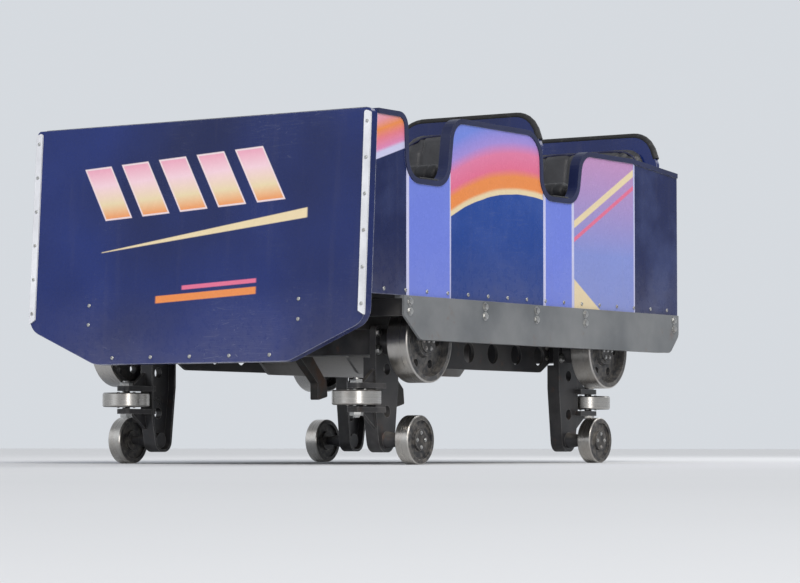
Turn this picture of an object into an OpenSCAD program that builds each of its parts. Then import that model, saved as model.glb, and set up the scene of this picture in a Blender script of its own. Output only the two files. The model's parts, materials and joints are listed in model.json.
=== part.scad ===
// Lead car of a wooden roller coaster train: two rows of two seats, on wheels that wrap the rails.
// Millimetres, +X forward, +Y to the riders' left, +Z up. The origin is on the floor under the middle
// of the whole length, drawbar included. A value called s is a distance behind the foot of the nose.

/* [Body] */
// Length of the body, from the foot of the nose panel to the rear panel
body_l = 1930; // [1860:10:2100]
// Width over the side walls
body_w = 1280; // [1240:10:1340]
// Thickness of the side walls
wall_t = 28; // [20:1:36]
// How far the side walls reach below the floor's top
wall_drop = 25; // [20:1:30]
// Height of the side walls beside the front seats, above the rails
side1_h = 814; // [800:2:840]
// Height of the side walls beside the rear seats, above the rails
side2_h = 776; // [760:2:800]
// Height of the side walls at their rear ends, above the rails
side3_h = 750; // [740:2:770]
// Height of the side walls at the step-in dips, above the rails
dip_h = 612; // [580:2:640]
// Distance of the dips' front edges ahead of the seat backs
dip_ahead = 720; // [700:5:730]
// Length of the step-in dips
dip_l = 230; // [200:5:245]
// Depth of the coping along the side walls' top edges
coping_h = 16; // [10:1:22]
// How far the coping stands out on each face of a wall
coping_proud = 4; // [2:0.5:6]
// Height of the nose panel's top above the rails
nose_top_h = 805; // [780:5:840]
// Height of the nose panel
nose_h = 745; // [700:5:770]
// Thickness of the nose panel
nose_t = 30; // [20:1:40]
// Lean of the nose panel to the rear, in degrees
nose_rake = 3.3; // [0:0.1:6]
// Width of the slope at each lower corner of the nose panel
nose_cut_w = 270; // [200:10:320]
// Height of the slope at each lower corner of the nose panel
nose_cut_h = 115; // [90:5:140]
// Width of the trims on the nose panel's side edges
trim_w = 24; // [18:1:30]
// Depth of the dash from the nose to the riders
dash_l = 150; // [130:5:160]
// Thickness of the rear panel
rear_t = 25; // [15:1:30]
// Height of the rear panel's top above the rails
rear_top_h = 742; // [720:2:760]

/* [Rows] */
// Length ahead of the front row's share of the body
nose_room = 165; // [160:5:180]
// Distance from the rear row's seat backs to the rear end
tail_room = 195; // [185:5:220]
// Depth of the seat cushions
seat_depth = 425; // [400:5:430]
// Height of the seat pans above the floor
pan_h = 150; // [130:5:170]
// Thickness of the seat cushions
cushion_t = 70; // [50:5:90]
// Thickness of the back cushions
back_pad_t = 46; // [36:2:56]
// Thickness of the seat shells
shell_t = 18; // [12:1:24]
// Lean of the seat backs, in degrees
back_rake = 11; // [8:0.5:12]
// Height of the seat shells' backs above the pans
back_h = 455; // [440:5:480]
// Width of the divider between two seats
divider_w = 64; // [50:2:80]

/* [Lap bars] */
// Distance of the lap bar pivots ahead of the seat backs
pivot_ahead = 560; // [550:5:570]
// Height of the lap bar pivots above the floor
pivot_h = 50; // [46:1:60]
// Length of a lap bar from its pivot back to its pad
bar_l = 270; // [250:5:280]
// Rise of a lap bar from its pivot to its pad
bar_rise = 325; // [310:5:350]
// Radius of the lap bar tube
bar_r = 17; // [12:0.5:20]
// Radius of the lap bar pads
bar_pad_r = 42; // [34:1:45]
// Length of the lap bar pads
bar_pad_l = 330; // [260:5:380]
// Radius of the lap bar pivot pins
pin_r = 15; // [12:0.5:17]

/* [Running gear] */
// Distance between the axles
wheelbase = 1100; // [1080:5:1120]
// Distance from the nose to the front axle
axle1_s = 400; // [390:5:410]
// Distance of the rails' inner edges inside the side walls' outer faces
rail_inset = 115; // [110:1:125]
// Depth of the rail ledge between road wheel and up-stop wheel
ledge_t = 90; // [80:1:100]
// Gap between the rail ledge and the up-stop wheels
ledge_gap = 8; // [4:1:10]
// Gap between the rails' inner edges and the guide wheels
guide_gap = 6; // [3:1:10]
// Diameter of the road wheels, which run on the rails
road_d = 254; // [240:2:260]
// Width of the road wheels
road_w = 74; // [60:2:80]
// Distance of the road wheels' middles beyond the rails' inner edges
road_out = 48; // [44:1:52]
// Diameter of the up-stop wheels, which run under the rails
stop_d = 150; // [130:2:160]
// Width of the up-stop wheels
stop_w = 50; // [40:2:56]
// Diameter of the guide wheels, which run against the rails' inner edges
guide_d = 150; // [130:2:160]
// Width of the guide wheels
guide_w = 45; // [36:1:50]
// Thickness of the wheel carriers' plates
carrier_t = 22; // [16:1:26]
// Width of the wheel carriers
carrier_w = 124; // [110:2:130]

/* [Chassis] */
// Gap between the road wheels' tops and the floor's underside
floor_gap = 10; // [6:1:20]
// Thickness of the floor
floor_t = 18; // [12:1:20]
// Height of the chassis channels
channel_h = 100; // [80:5:110]
// Width of the chassis channels' flanges
channel_w = 46; // [40:1:50]
// Steel thickness of the channels
channel_t = 8; // [5:0.5:10]
// Depth of the pierced side frames between the axles
frame_h = 110; // [90:5:120]
// Height of the side sills
sill_h = 130; // [110:5:140]
// How far the side sills stand proud of the side walls
sill_proud = 10; // [6:1:14]
// Depth of the brake fins
fin_h = 125; // [110:5:140]
// Distance from the drawbar's pin to its eye
drawbar_l = 200; // [180:5:260]
// Thickness of the drawbar
drawbar_t = 30; // [24:1:36]
// Radius of the drawbar's eye
eye_r = 16; // [12:0.5:18]
// Radius of the drawbar's pin
hitch_pin_r = 15; // [12:0.5:18]

/* [Hidden] */
$fn = 48;

navy = [0.05, 0.08, 0.30];
side_blue = [0.45, 0.50, 0.85];
chassis_black = [0.10, 0.10, 0.11];
carrier_black = [0.13, 0.13, 0.14];
seat_black = [0.12, 0.12, 0.14];

run_gap = 0.05;   // radial clearance of a running fit
seat_gap = 0.3;   // gap where a sloping face meets its neighbour
side_gap = 6;     // clearance beside a wheel or a hub
sleeve_t = 1;     // how far a tube's bend stands out over its straight lengths
sleeve_lap = 4;   // how far the straight lengths reach into a bend
lap = 1;          // how far joined solids of one piece reach into each other

// Heights
z_rail = stop_d + ledge_gap + ledge_t;
z_axle = z_rail + road_d / 2;
z_floor_under = z_rail + road_d + floor_gap;
z_floor = z_floor_under + floor_t;
z_channel = z_floor_under - channel_h;
z_foot = z_floor - wall_drop;
z_nose = z_rail + nose_top_h;
z_nose_foot = z_nose - nose_h;
z_dip = z_rail + dip_h;
z_rear = z_rail + rear_top_h;
z_pan = z_floor + pan_h;
z_pivot = z_floor + pivot_h;
z_stop = stop_d / 2;
z_guide = z_rail - ledge_t / 2;

// Widths, as distances from the middle of the car
half_w = body_w / 2;
inner_half = half_w - wall_t;
sill_face = half_w + sill_proud;
rail_y = half_w - rail_inset;
road_y = rail_y + road_out;
stop_out = 5;
stop_y = rail_y + stop_out + stop_w / 2;
guide_y = rail_y - guide_gap - guide_d / 2;
carrier_in = guide_y - carrier_t / 2;
carrier_out = guide_y + carrier_t / 2;
channel_y = carrier_in - 10;
seat_half = inner_half - coping_proud - 1;
seat_y = (inner_half + divider_w / 2) / 2;
cushion_w = inner_half - divider_w / 2 - 2 * 24;

// Stations along the car
row_l = (body_l - nose_room - tail_room) / 2;
row_s = [nose_room + row_l, nose_room + 2 * row_l];
axle_s = [axle1_s, axle1_s + wheelbase];
beam_w = 80;
beam_drop = 40;
z_beam_foot = z_axle - beam_drop;
bumper_s = 85;
member_out = 240;
member_s = [bumper_s, axle_s[0] + member_out, (axle_s[0] + axle_s[1]) / 2,
    axle_s[1] - member_out, body_l - 60];
arm_w = 30;
arm_h = 52;
arm_s = [axle_s[0] - road_d / 2 - 58, each [for (k = [1 : 4]) member_s[k]]];

// Coupling
head_r = hitch_pin_r + 19;
yoke_s = member_s[4] + channel_w + head_r + 10;
yoke_t = 12;
yoke_gap = 8;
eye_s = yoke_s + drawbar_l;
eye_rim = 22;
z_bar = z_floor_under - channel_h / 2;
overall_l = eye_s + eye_r + eye_rim;
x_front = overall_l / 2;

function X(s) = x_front - s;
// Distance of the nose panel's two faces behind its foot, at height z
function outside_s(z) = (z - z_nose_foot) * tan(nose_rake);
function inside_s(z) = outside_s(z) + nose_t / cos(nose_rake);

// Outline from rows of [x, y, corner radius]. A radius gives way where its two edges are short
function fillet(a, b, c, r, n) =
    let (u = (a - b) / norm(a - b), w = (c - b) / norm(c - b), h = acos(u * w) / 2,
         t = min(r / tan(h), 0.49 * norm(a - b), 0.49 * norm(c - b)), q = t * tan(h),
         m = b + (u + w) / norm(u + w) * q / sin(h), p0 = b + u * t - m, p1 = b + w * t - m,
         a0 = atan2(p0[1], p0[0]), d = atan2(p1[1], p1[0]) - a0,
         turn = d > 180 ? d - 360 : d < -180 ? d + 360 : d)
    [for (k = [0 : n]) m + q * [cos(a0 + turn * k / n), sin(a0 + turn * k / n)]];
function rounded(rows, n = 8) =
    let (c = len(rows), at = function (i) [rows[(i + c) % c][0], rows[(i + c) % c][1]])
    [for (i = [0 : c - 1]) each rows[i][2] > 0
        ? fillet(at(i - 1), at(i), at(i + 1), rows[i][2], n) : [at(i)]];
// The rows [y, z, r] of half a front view, and their mirror image
function mirrored(rows) = concat(rows,
    [for (i = [len(rows) - 1 : -1 : 0]) [-rows[i][0], rows[i][1], rows[i][2]]]);

// A side view, drawn as [x, z], made solid from y0 to y1
module from_side(y0, y1) {
    translate([0, y1, 0]) rotate([90, 0, 0]) linear_extrude(y1 - y0) children();
}
// A front view, drawn as [y, z], made solid from x0 to x1
module from_front(x0, x1) {
    translate([x0, 0, 0]) rotate([90, 0, 90]) linear_extrude(x1 - x0) children();
}
module box(low, high) {
    translate(low) cube(high - low);
}
module both_sides() {
    children();
    mirror([0, 1, 0]) children();
}
module rod_y(x, y0, y1, z, r, r_end = undef) {
    translate([x, y0, z]) rotate([-90, 0, 0])
        cylinder(r1 = r, r2 = is_undef(r_end) ? r : r_end, h = y1 - y0);
}
// A round tube in the XZ plane through the points, with a sleeve round each bend
module bent_tube(points, r, bend_r) {
    last = len(points) - 1;
    function unit(i) = (points[i + 1] - points[i]) / norm(points[i + 1] - points[i]);
    function turn(i) = acos(unit(i - 1) * unit(i));
    function setback(i) = i == 0 || i == last ? 0 : bend_r * tan(turn(i) / 2);
    for (i = [0 : last - 1]) {
        a = points[i] + unit(i) * setback(i);
        l = norm(points[i + 1] - points[i]) - setback(i) - setback(i + 1);
        lap0 = i == 0 ? 0 : sleeve_lap;
        lap1 = i == last - 1 ? 0 : sleeve_lap;
        translate([a[0], 0, a[1]]) rotate([0, 90 - atan2(unit(i)[1], unit(i)[0]), 0])
            translate([0, 0, -lap0]) cylinder(r = r, h = l + lap0 + lap1);
    }
    for (i = [1 : last - 1]) {
        side = sign(unit(i - 1)[0] * unit(i)[1] - unit(i - 1)[1] * unit(i)[0]);
        start = points[i] - unit(i - 1) * setback(i);
        m = start + side * bend_r * [-unit(i - 1)[1], unit(i - 1)[0]];
        heading = atan2(start[1] - m[1], start[0] - m[0]);
        translate([m[0], 0, m[1]]) rotate([90, 0, 0]) rotate([0, 0, heading - (side < 0 ? turn(i) : 0)])
            rotate_extrude(angle = turn(i)) translate([bend_r, 0]) circle(r + sleeve_t);
    }
}
module channel_outline(w, h, t) {
    difference() {
        square([w, h]);
        translate([t, t]) square([w, h - 2 * t]);
    }
}

// Chassis
module chassis_channels() color(chassis_black) {
    l = member_s[4] + channel_w - bumper_s;
    both_sides() from_front(X(bumper_s + l), X(bumper_s))
        translate([channel_y, z_channel]) mirror([1, 0]) channel_outline(channel_w, channel_h, channel_t);
}
module cross_members() color(chassis_black) {
    y_in = channel_y - channel_w;
    for (s = member_s)
        from_side(-y_in, y_in) translate([X(s + channel_w), z_channel])
            channel_outline(channel_w, channel_h, channel_t);
    // arms out to the sills
    both_sides() for (s = arm_s)
        from_side(channel_y, sill_face - channel_t) translate([X(s), z_foot - channel_t - arm_h])
            mirror([1, 0]) channel_outline(arm_w, arm_h, channel_t);
}
module side_frames() color(chassis_black) {
    front = axle_s[0] + beam_w / 2;
    back = axle_s[1] - beam_w / 2;
    plate_t = 10;
    end_l = 60;
    hole_r = 0.3 * frame_h;
    holes = 7;
    first = front + end_l + 10;
    pitch = (back - end_l - 10 - first) / (holes - 1);
    both_sides() translate([0, channel_y - channel_w / 2, 0]) from_side(-plate_t / 2, plate_t / 2)
        difference() {
            polygon(rounded([[X(front), z_channel, 0], [X(back), z_channel, 0], [X(back), z_beam_foot, 0],
                [X(back - end_l), z_channel - frame_h, 40], [X(front + end_l), z_channel - frame_h, 40],
                [X(front), z_beam_foot, 0]]));
            for (k = [0 : holes - 1])
                translate([X(first + k * pitch), z_channel - frame_h / 2]) circle(hole_r);
        }
}
module nose_brackets() color(chassis_black) {
    edge = 5;
    heights = [z_channel + edge, z_floor_under - edge];
    both_sides() from_side(channel_y - channel_w, channel_y) polygon([
        for (z = heights) [X(inside_s(z) + seat_gap), z],
        [X(bumper_s), heights[1]], [X(bumper_s), heights[0]]]);
}
module side_sills() color([0.55, 0.56, 0.56]) {
    front = 200;
    back = body_l - 10;
    nib = 60;
    flange_in = road_y + road_w / 2 + side_gap;
    z_low = z_foot - sill_h;
    both_sides() union() {
        from_side(sill_face - channel_t, sill_face) polygon(rounded([
            [X(front), z_foot, 0], [X(front), z_low + sill_h - nib, 10], [X(front + 1.5 * nib), z_low, 40],
            [X(back - nib), z_low, 40], [X(back), z_low + nib, 30], [X(back), z_foot, 0]]));
        box([X(back), flange_in, z_foot - channel_t], [X(front), sill_face - lap, z_foot]);
        box([X(back - 1.5 * nib), flange_in, z_low],
            [X(front + 2 * nib), sill_face - lap, z_low + channel_t]);
    }
}
module floor_pan() color([0.20, 0.20, 0.21]) {
    box([X(body_l - rear_t), -inner_half, z_floor_under],
        [X(inside_s(z_floor) + seat_gap), inner_half, z_floor]);
}

// Body
module on_nose() {
    translate([X(0), 0, z_nose_foot]) rotate([0, -nose_rake, 0]) children();
}
nose_slope_h = nose_h / cos(nose_rake);
module nose_panel() color(navy) {
    on_nose() from_front(-nose_t, 0) polygon(rounded(mirrored([
        [half_w - nose_cut_w, 0, 90], [half_w, nose_cut_h, 60], [half_w, nose_slope_h, 14]])));
}
module nose_trim() color([0.86, 0.87, 0.90]) {
    trim_t = 5;
    low = nose_cut_h + 15;
    step = 14;
    on_nose() both_sides() from_front(0, trim_t) polygon(rounded([
        [half_w, low, 3], [half_w, nose_slope_h - step, 8],
        [half_w - trim_w, nose_slope_h - step / 3, 8], [half_w - trim_w, low + step, 3]]));
}
// Corner radii of the side walls' tops, ahead of each dip
dip_ahead_r = [45, 95];
// Rows [x, z, r] of a side wall with its top edge lowered by e
function wall_rows(e) =
    let (tops = [[z_nose, z_rail + side1_h], [z_rail + side1_h, z_rail + side2_h]])
    concat(
        [[X(inside_s(z_foot) + seat_gap), z_foot, 0], [X(inside_s(z_nose - e) + seat_gap), z_nose - e, 0]],
        [for (k = [0, 1], p = [[-e, tops[k][0] - e, dip_ahead_r[k] - e], [8 - e, z_dip - e, 60 + e],
            [dip_l - 15 + e, z_dip - e, 60 + e], [dip_l + 15 + e, tops[k][1] - e, 75 - e]])
            [X(row_s[k] - dip_ahead + p[0]), p[1], p[2]]],
        [[X(row_s[1] - 120), z_rail + side2_h - e, 60], [X(body_l), z_rail + side3_h - e, 0],
            [X(body_l), z_foot, 0]]);
module side_wall(side) color(side_blue) {
    mirror([0, side > 0 ? 0 : 1, 0]) from_side(inner_half, half_w) polygon(rounded(wall_rows(coping_h)));
}
module side_copings() color([0.80, 0.80, 0.88]) {
    top = rounded(wall_rows(0));
    under = rounded(wall_rows(coping_h));
    both_sides() from_side(inner_half - coping_proud, half_w + coping_proud)
        polygon([for (i = [1 : len(top) - 2]) top[i], for (i = [len(under) - 2 : -1 : 1]) under[i]]);
}
module dash_panel() color([0.07, 0.08, 0.14]) {
    t = 12;
    shelf_z = z_nose - 20;
    roll = 40;
    knee_s = 0.7 * dash_l;
    toe_s = dash_l + 50;
    knee_z = z_pan;
    from_side(-inner_half, inner_half) polygon(rounded([
        [X(inside_s(shelf_z) + seat_gap), shelf_z, 0], [X(dash_l), shelf_z, 16],
        [X(dash_l), shelf_z - roll, 16], [X(knee_s + t), knee_z, 60], [X(toe_s + t), z_floor, 0],
        [X(toe_s), z_floor, 0], [X(knee_s), knee_z, 60], [X(dash_l - t), shelf_z - roll, 4],
        [X(dash_l - t), shelf_z - t, 4], [X(inside_s(shelf_z) + seat_gap), shelf_z - t, 0]]));
}
module rear_panel() color(navy) {
    from_front(X(body_l), X(body_l - rear_t)) polygon(rounded(mirrored([
        [inner_half, z_floor_under, 0], [inner_half, z_rear, 70]])));
}

// Seats
function back_s(row, z) = row + back_pad_t + (z - z_pan) * tan(back_rake);
heel = 45;
module seat_bases() color([0.10, 0.11, 0.16]) {
    t = 15;
    top = z_pan - shell_t;
    for (row = row_s) from_side(-seat_half, seat_half) difference() {
        polygon([[X(row - seat_depth + shell_t + heel), z_floor], [X(row + 60), z_floor],
            [X(row + 50), top], [X(row - seat_depth + shell_t), top]]);
        polygon([[X(row - seat_depth + shell_t + heel + t), z_floor + t], [X(row + 60 - t), z_floor + t],
            [X(row + 50 - t), top - t], [X(row - seat_depth + shell_t + t), top - t]]);
    }
}
module seat_shell(row) color(navy) {
    apron = 55;
    z_top = z_pan + back_h;
    rear = shell_t / cos(back_rake);
    hump = cushion_w / 2;
    intersection() {
        from_side(-seat_half, seat_half) polygon(rounded([
            [X(row - seat_depth), z_pan - apron, 4], [X(row - seat_depth), z_pan, 22],
            [X(back_s(row, z_pan)), z_pan, 40], [X(back_s(row, z_top)), z_top, 0],
            [X(back_s(row, z_top) + rear), z_top, 0],
            [X(back_s(row, z_pan - shell_t) + rear), z_pan - shell_t, 40 + shell_t],
            [X(row - seat_depth + shell_t), z_pan - shell_t, 0],
            [X(row - seat_depth + shell_t), z_pan - apron, 4]]));
        from_front(X(row + 2 * back_h), X(row - seat_depth - lap)) polygon(rounded(mirrored([
            [seat_half, z_pan - apron - lap, 0], [seat_half, z_top - 110, 40],
            [seat_y + hump - 30, z_top, 100], [seat_y - hump + 50, z_top, 100], [30, z_top - 55, 50]])));
    }
}
module seat_cushions() color(seat_black) {
    front_r = 24;
    for (row = row_s, y = [-1, 1] * seat_y)
        from_side(y - cushion_w / 2, y + cushion_w / 2) polygon(rounded([
            [X(row + back_pad_t - 4), z_pan, 44], [X(row + back_pad_t - 4), z_pan + cushion_t - 8, 16],
            [X(row - seat_depth + 60), z_pan + cushion_t + 4, 60],
            [X(row - seat_depth + 3), z_pan + cushion_t - 6, front_r],
            [X(row - seat_depth + 3), z_pan, front_r]]));
}
module back_cushions() color(seat_black) {
    l = back_h / cos(back_rake);
    low = cushion_t + 6;
    for (row = row_s, y = [-1, 1] * seat_y)
        translate([X(row + back_pad_t), 0, z_pan]) rotate([0, -back_rake, 0])
            from_front(seat_gap, back_pad_t - 4) polygon(rounded([
                [y - cushion_w / 2, low, 30], [y - cushion_w / 2 + 20, l - 40, 90],
                [y + cushion_w / 2 - 20, l - 40, 90], [y + cushion_w / 2, low, 30]]));
}
module seat_dividers() color(seat_black) {
    rise = 0.5 * back_h;
    for (row = row_s) from_side(-divider_w / 2, divider_w / 2) polygon(rounded([
        [X(row - 0.8 * seat_depth), z_pan, 20], [X(row - 0.77 * seat_depth), z_pan + 0.5 * rise, 50],
        [X(row - 0.35 * seat_depth), z_pan + 0.8 * rise, 70],
        [X(back_s(row, z_pan + rise) - seat_gap), z_pan + rise, 0],
        [X(back_s(row, z_pan + 45) - seat_gap), z_pan + 45, 0], [X(row - 5), z_pan, 0]]));
}
module grab_rails() color([0.75, 0.76, 0.78]) {
    r = 12;
    half = 0.78 * inner_half;
    reach = 55;
    flange_t = 5;
    translate([X(dash_l), 0, z_nose - 40]) union() {
        rotate([-90, 0, 0]) bent_tube([[0, -half], [-reach, -half], [-reach, half], [0, half]], r, 32);
        both_sides() translate([0, half, 0]) rotate([0, -90, 0]) cylinder(r = 2 * r, h = flange_t);
    }
}

// Lap bars: each pivots on the floor ahead of the rider's shins and ends in a padded bar over the lap
bar_path = [[0, 0], [-0.35 * bar_l, 0.72 * bar_rise], [-bar_l, bar_rise]];
bar_end_r = 14;
bar_stub = 30;
hub_w = 44;
hub_r = pin_r + 15;
module at_pivot(row, side) {
    translate([X(row - pivot_ahead), side * seat_y, z_pivot]) children();
}
module lap_bar_mounts() color([0.16, 0.16, 0.17]) {
    ear_t = 10;
    ear_in = hub_w / 2 + side_gap;
    foot_t = 10;
    foot_l = 58;
    foot_half = ear_in + ear_t + 14;
    for (row = row_s, side = [-1, 1]) at_pivot(row, side) union() {
        box([-foot_l, -foot_half, -pivot_h], [foot_l, foot_half, foot_t - pivot_h]);
        both_sides() from_side(ear_in, ear_in + ear_t) polygon(rounded([
            [-foot_l + 10, foot_t - pivot_h - lap, 0], [foot_l - 10, foot_t - pivot_h - lap, 0],
            [hub_r, hub_r, hub_r - 1], [-hub_r, hub_r, hub_r - 1]]));
        rod_y(0, -ear_in - ear_t - 6, ear_in + ear_t + 6, 0, pin_r);
    }
}
module lap_bar(row, side) color([0.15, 0.15, 0.16]) {
    at_pivot(row, side) difference() {
        union() {
            rod_y(0, -hub_w / 2, hub_w / 2, 0, hub_r);
            bent_tube(bar_path, bar_r, 80);
            rod_y(-bar_l, -bar_pad_l / 2 - bar_stub, bar_pad_l / 2 + bar_stub, bar_rise, bar_end_r);
        }
        rod_y(0, -hub_w, hub_w, 0, pin_r + run_gap);
    }
}
module lap_pad(row, side) color([0.10, 0.10, 0.11]) {
    at_pivot(row, side) difference() {
        rod_y(-bar_l, -bar_pad_l / 2, bar_pad_l / 2, bar_rise, bar_pad_r);
        rod_y(-bar_l, -bar_pad_l, bar_pad_l, bar_rise, bar_end_r);
        bent_tube(bar_path, bar_r, 80);
    }
}

// Running gear
module axle_beams() color(carrier_black) {
    for (s = axle_s)
        box([X(s) - beam_w / 2, -carrier_in, z_beam_foot], [X(s) + beam_w / 2, carrier_in, z_channel]);
}
lug_t = 16;
lug_r = 27;
fork = guide_w / 2 + side_gap;
guide_pin_r = 12;
road_pin_r = 25;
stop_pin_r = 15;
guide_reach = carrier_w / 2 + 13 + guide_d / 2;
foot_r = 38;
// Rows [x, z, r] of a carrier's plate, which hangs from the axle beam past the rail. Its edge is moved
// in by e
function carrier_rows(e) = [
    [-carrier_w / 2 + e, z_channel + 12 - e, 14], [carrier_w / 2 - e, z_channel + 12 - e, 14],
    [carrier_w / 2 - e, z_guide - fork - lug_t, 24], [foot_r - e, z_stop - foot_r + e, foot_r - e - 1],
    [-foot_r + e, z_stop - foot_r + e, foot_r - e - 1], [-carrier_w / 2 + e, z_rail, 30]];
module carrier_plate() {
    rim_t = 8;
    rim_w = 24;
    hole_r = 18;
    difference() {
        union() {
            from_side(carrier_in, carrier_out) polygon(rounded(carrier_rows(0)));
            // stiffening rim on the inner face, below the beam
            from_side(carrier_in - rim_w, carrier_in + lap) difference() {
                polygon(rounded(carrier_rows(0)));
                polygon(rounded(carrier_rows(rim_t)));
                translate([-carrier_w, z_beam_foot - rim_t]) square([2 * carrier_w, road_d]);
            }
        }
        rod_y(0, carrier_in - rim_w - lap, carrier_out + lap, (z_rail + z_stop) / 2, hole_r);
        rod_y(0, carrier_in - rim_w - lap, carrier_out + lap, (z_rail + z_beam_foot) / 2, hole_r);
    }
}
module carrier_spindles() {
    taper_l = 44;
    rod_y(0, carrier_out - lap, carrier_out + taper_l, z_axle, road_pin_r + 16, road_pin_r + 5);
    rod_y(0, carrier_out - lap, road_y + road_w / 3, z_axle, road_pin_r);
    rod_y(0, carrier_out - lap, carrier_out + taper_l, z_stop, stop_pin_r + 12, stop_pin_r + 4);
    rod_y(0, carrier_out - lap, stop_y + stop_w / 4, z_stop, stop_pin_r);
    rod_y(0, carrier_in - 14, carrier_in + lap, z_stop, stop_pin_r + 9);
}
module carrier_fork() {
    rib_t = 12;
    rib_h = 50;
    root = carrier_w / 2 - 20;
    tip = guide_reach - lug_r;
    nut_h = 8;
    for (up = [1, -1]) translate([0, 0, z_guide]) mirror([0, 0, up > 0 ? 0 : 1]) {
        translate([0, guide_y, fork]) linear_extrude(lug_t) polygon(rounded([
            [root, -lug_r - 8, 0], [guide_reach + lug_r, -lug_r, lug_r - 1],
            [guide_reach + lug_r, lug_r, lug_r - 1], [root, lug_r + 8, 0]]));
        from_side(guide_y - rib_t / 2, guide_y + rib_t / 2) polygon([
            [root, fork + lug_t - lap], [root, fork + lug_t + rib_h],
            [carrier_w / 2 - 10, fork + lug_t + rib_h], [tip, fork + lug_t + lap],
            [tip, fork + lug_t - lap]]);
    }
    translate([guide_reach, guide_y, z_guide - fork - lug_t - nut_h])
        cylinder(r = guide_pin_r, h = 2 * (fork + lug_t + nut_h));
}
module wheel_carriers() color(carrier_black) {
    both_sides() for (i = [0, 1]) translate([X(axle_s[i]), 0, 0]) mirror([i, 0, 0]) union() {
        carrier_plate();
        carrier_spindles();
        carrier_fork();
    }
}
module road_wheel(s, side) color([0.20, 0.20, 0.21]) {
    r = road_d / 2;
    w = road_w / 2;
    hub = road_pin_r + 21;
    rim = r - 18;
    cap = 12;
    holes = 6;
    translate([X(s), side * road_y, z_axle]) rotate([side > 0 ? -90 : 90, 0, 0]) difference() {
        rotate_extrude($fn = 96) polygon([
            [road_pin_r + run_gap, -w], [hub, -w], [hub + 6, -2], [rim - 2, -6], [rim, -w], [r - 3, -w],
            [r, -w + 3], [r, w - 3], [r - 3, w], [rim, w], [rim - 2, 10], [hub + 6, 14], [hub, w - 10],
            [hub - 8, w - 10], [hub - 10, w - 3], [0, w - 3], [0, w - cap], [road_pin_r + run_gap, w - cap]]);
        for (k = [1 : holes]) rotate([0, 0, k * 360 / holes]) translate([(hub + rim) / 2 + 2, 0, -w])
            cylinder(r = (rim - hub) / 4.5, h = 2 * w);
    }
}
module small_wheel(d, w, bore, capped) {
    r = d / 2;
    hub = 33;
    tyre = 15;
    dish = 8;
    half = w / 2;
    rotate_extrude($fn = 72) polygon(concat(
        [[bore, -half], [hub - 1, -half], [hub + 1, -half + dish], [r - tyre - 1, -half + dish],
         [r - tyre, -half], [r - 4, -half], [r, -half + 4], [r, half - 4], [r - 4, half], [r - tyre, half],
         [r - tyre - 1, half - dish], [hub + 1, half - dish], [hub - 1, half]],
        capped ? [[0, half], [0, 0.55 * half], [bore, 0.55 * half]] : [[bore, half]]));
}
module guide_wheel(s, dir, side) color([0.16, 0.16, 0.17]) {
    translate([X(s) + dir * guide_reach, side * guide_y, z_guide])
        small_wheel(guide_d, guide_w, guide_pin_r + run_gap, false);
}
module upstop_wheel(s, side) color([0.16, 0.16, 0.17]) {
    translate([X(s), side * stop_y, z_stop]) rotate([side > 0 ? -90 : 90, 0, 0])
        small_wheel(stop_d, stop_w, stop_pin_r + run_gap, true);
}
module brake_fins() color([0.42, 0.43, 0.44]) {
    t = 10;
    y = 170;
    flange_w = 50;
    nib = 50;
    end_gap = 190;
    front = axle_s[0] + end_gap;
    back = axle_s[1] - end_gap;
    both_sides() union() {
        from_side(y, y + t) polygon(rounded([[X(front), z_channel, 0], [X(back), z_channel, 0],
            [X(back), z_channel - fin_h + nib, 20], [X(back - 1.2 * nib), z_channel - fin_h, 30],
            [X(front + 1.2 * nib), z_channel - fin_h, 30], [X(front), z_channel - fin_h + nib, 20]]));
        box([X(back), y + t - lap, z_channel - t], [X(front), y + flange_w, z_channel]);
    }
}

// Dogs: pawls that hang from pins under the floor and trail to the rear
dog_t = 30;
dog_pin_r = 12;
dog_eye_r = 27;
z_dog = z_channel - 42;
// One row for each dog: station, y, reach to the rear, drop below the pin
dogs = [[member_s[2] + channel_w / 2, 0, 190, 185], [member_s[1] + channel_w / 2, -70, 150, 165]];
module at_dog(i) {
    translate([X(dogs[i][0]), dogs[i][1], z_dog]) children();
}
module dog_brackets() color(chassis_black) {
    ear_t = 12;
    half = dog_t / 2 + side_gap;
    foot_l = 70;
    foot_t = 10;
    up = z_channel - z_dog;
    for (i = [0, 1]) at_dog(i) union() {
        box([-foot_l / 2, -half - ear_t - 8, up - foot_t], [foot_l / 2, half + ear_t + 8, up]);
        both_sides() from_side(half, half + ear_t) polygon(rounded([
            [-foot_l / 2, up - lap, 0], [foot_l / 2, up - lap, 0],
            [dog_pin_r + 10, -dog_pin_r - 12, 20], [-dog_pin_r - 10, -dog_pin_r - 12, 20]]));
        rod_y(0, -half - ear_t - 5, half + ear_t + 5, 0, dog_pin_r);
    }
}
module dog(i) color([0.22, 0.22, 0.23]) {
    reach = dogs[i][2];
    drop = dogs[i][3];
    hook_h = 50;
    shank = 55;
    at_dog(i) difference() {
        union() {
            from_side(-dog_t / 2, dog_t / 2) polygon(rounded([[18, 18, 0], [20, -16, 12],
                [-reach + shank, -drop + shank, 12], [-reach + shank, -drop, 6], [-reach, -drop + 12, 6],
                [-reach + 6, -drop + 12 + hook_h, 8], [-20, 20, 14]]));
            rod_y(0, -dog_t / 2, dog_t / 2, 0, dog_eye_r);
        }
        rod_y(0, -dog_t, dog_t, 0, dog_pin_r + run_gap);
    }
}

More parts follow.
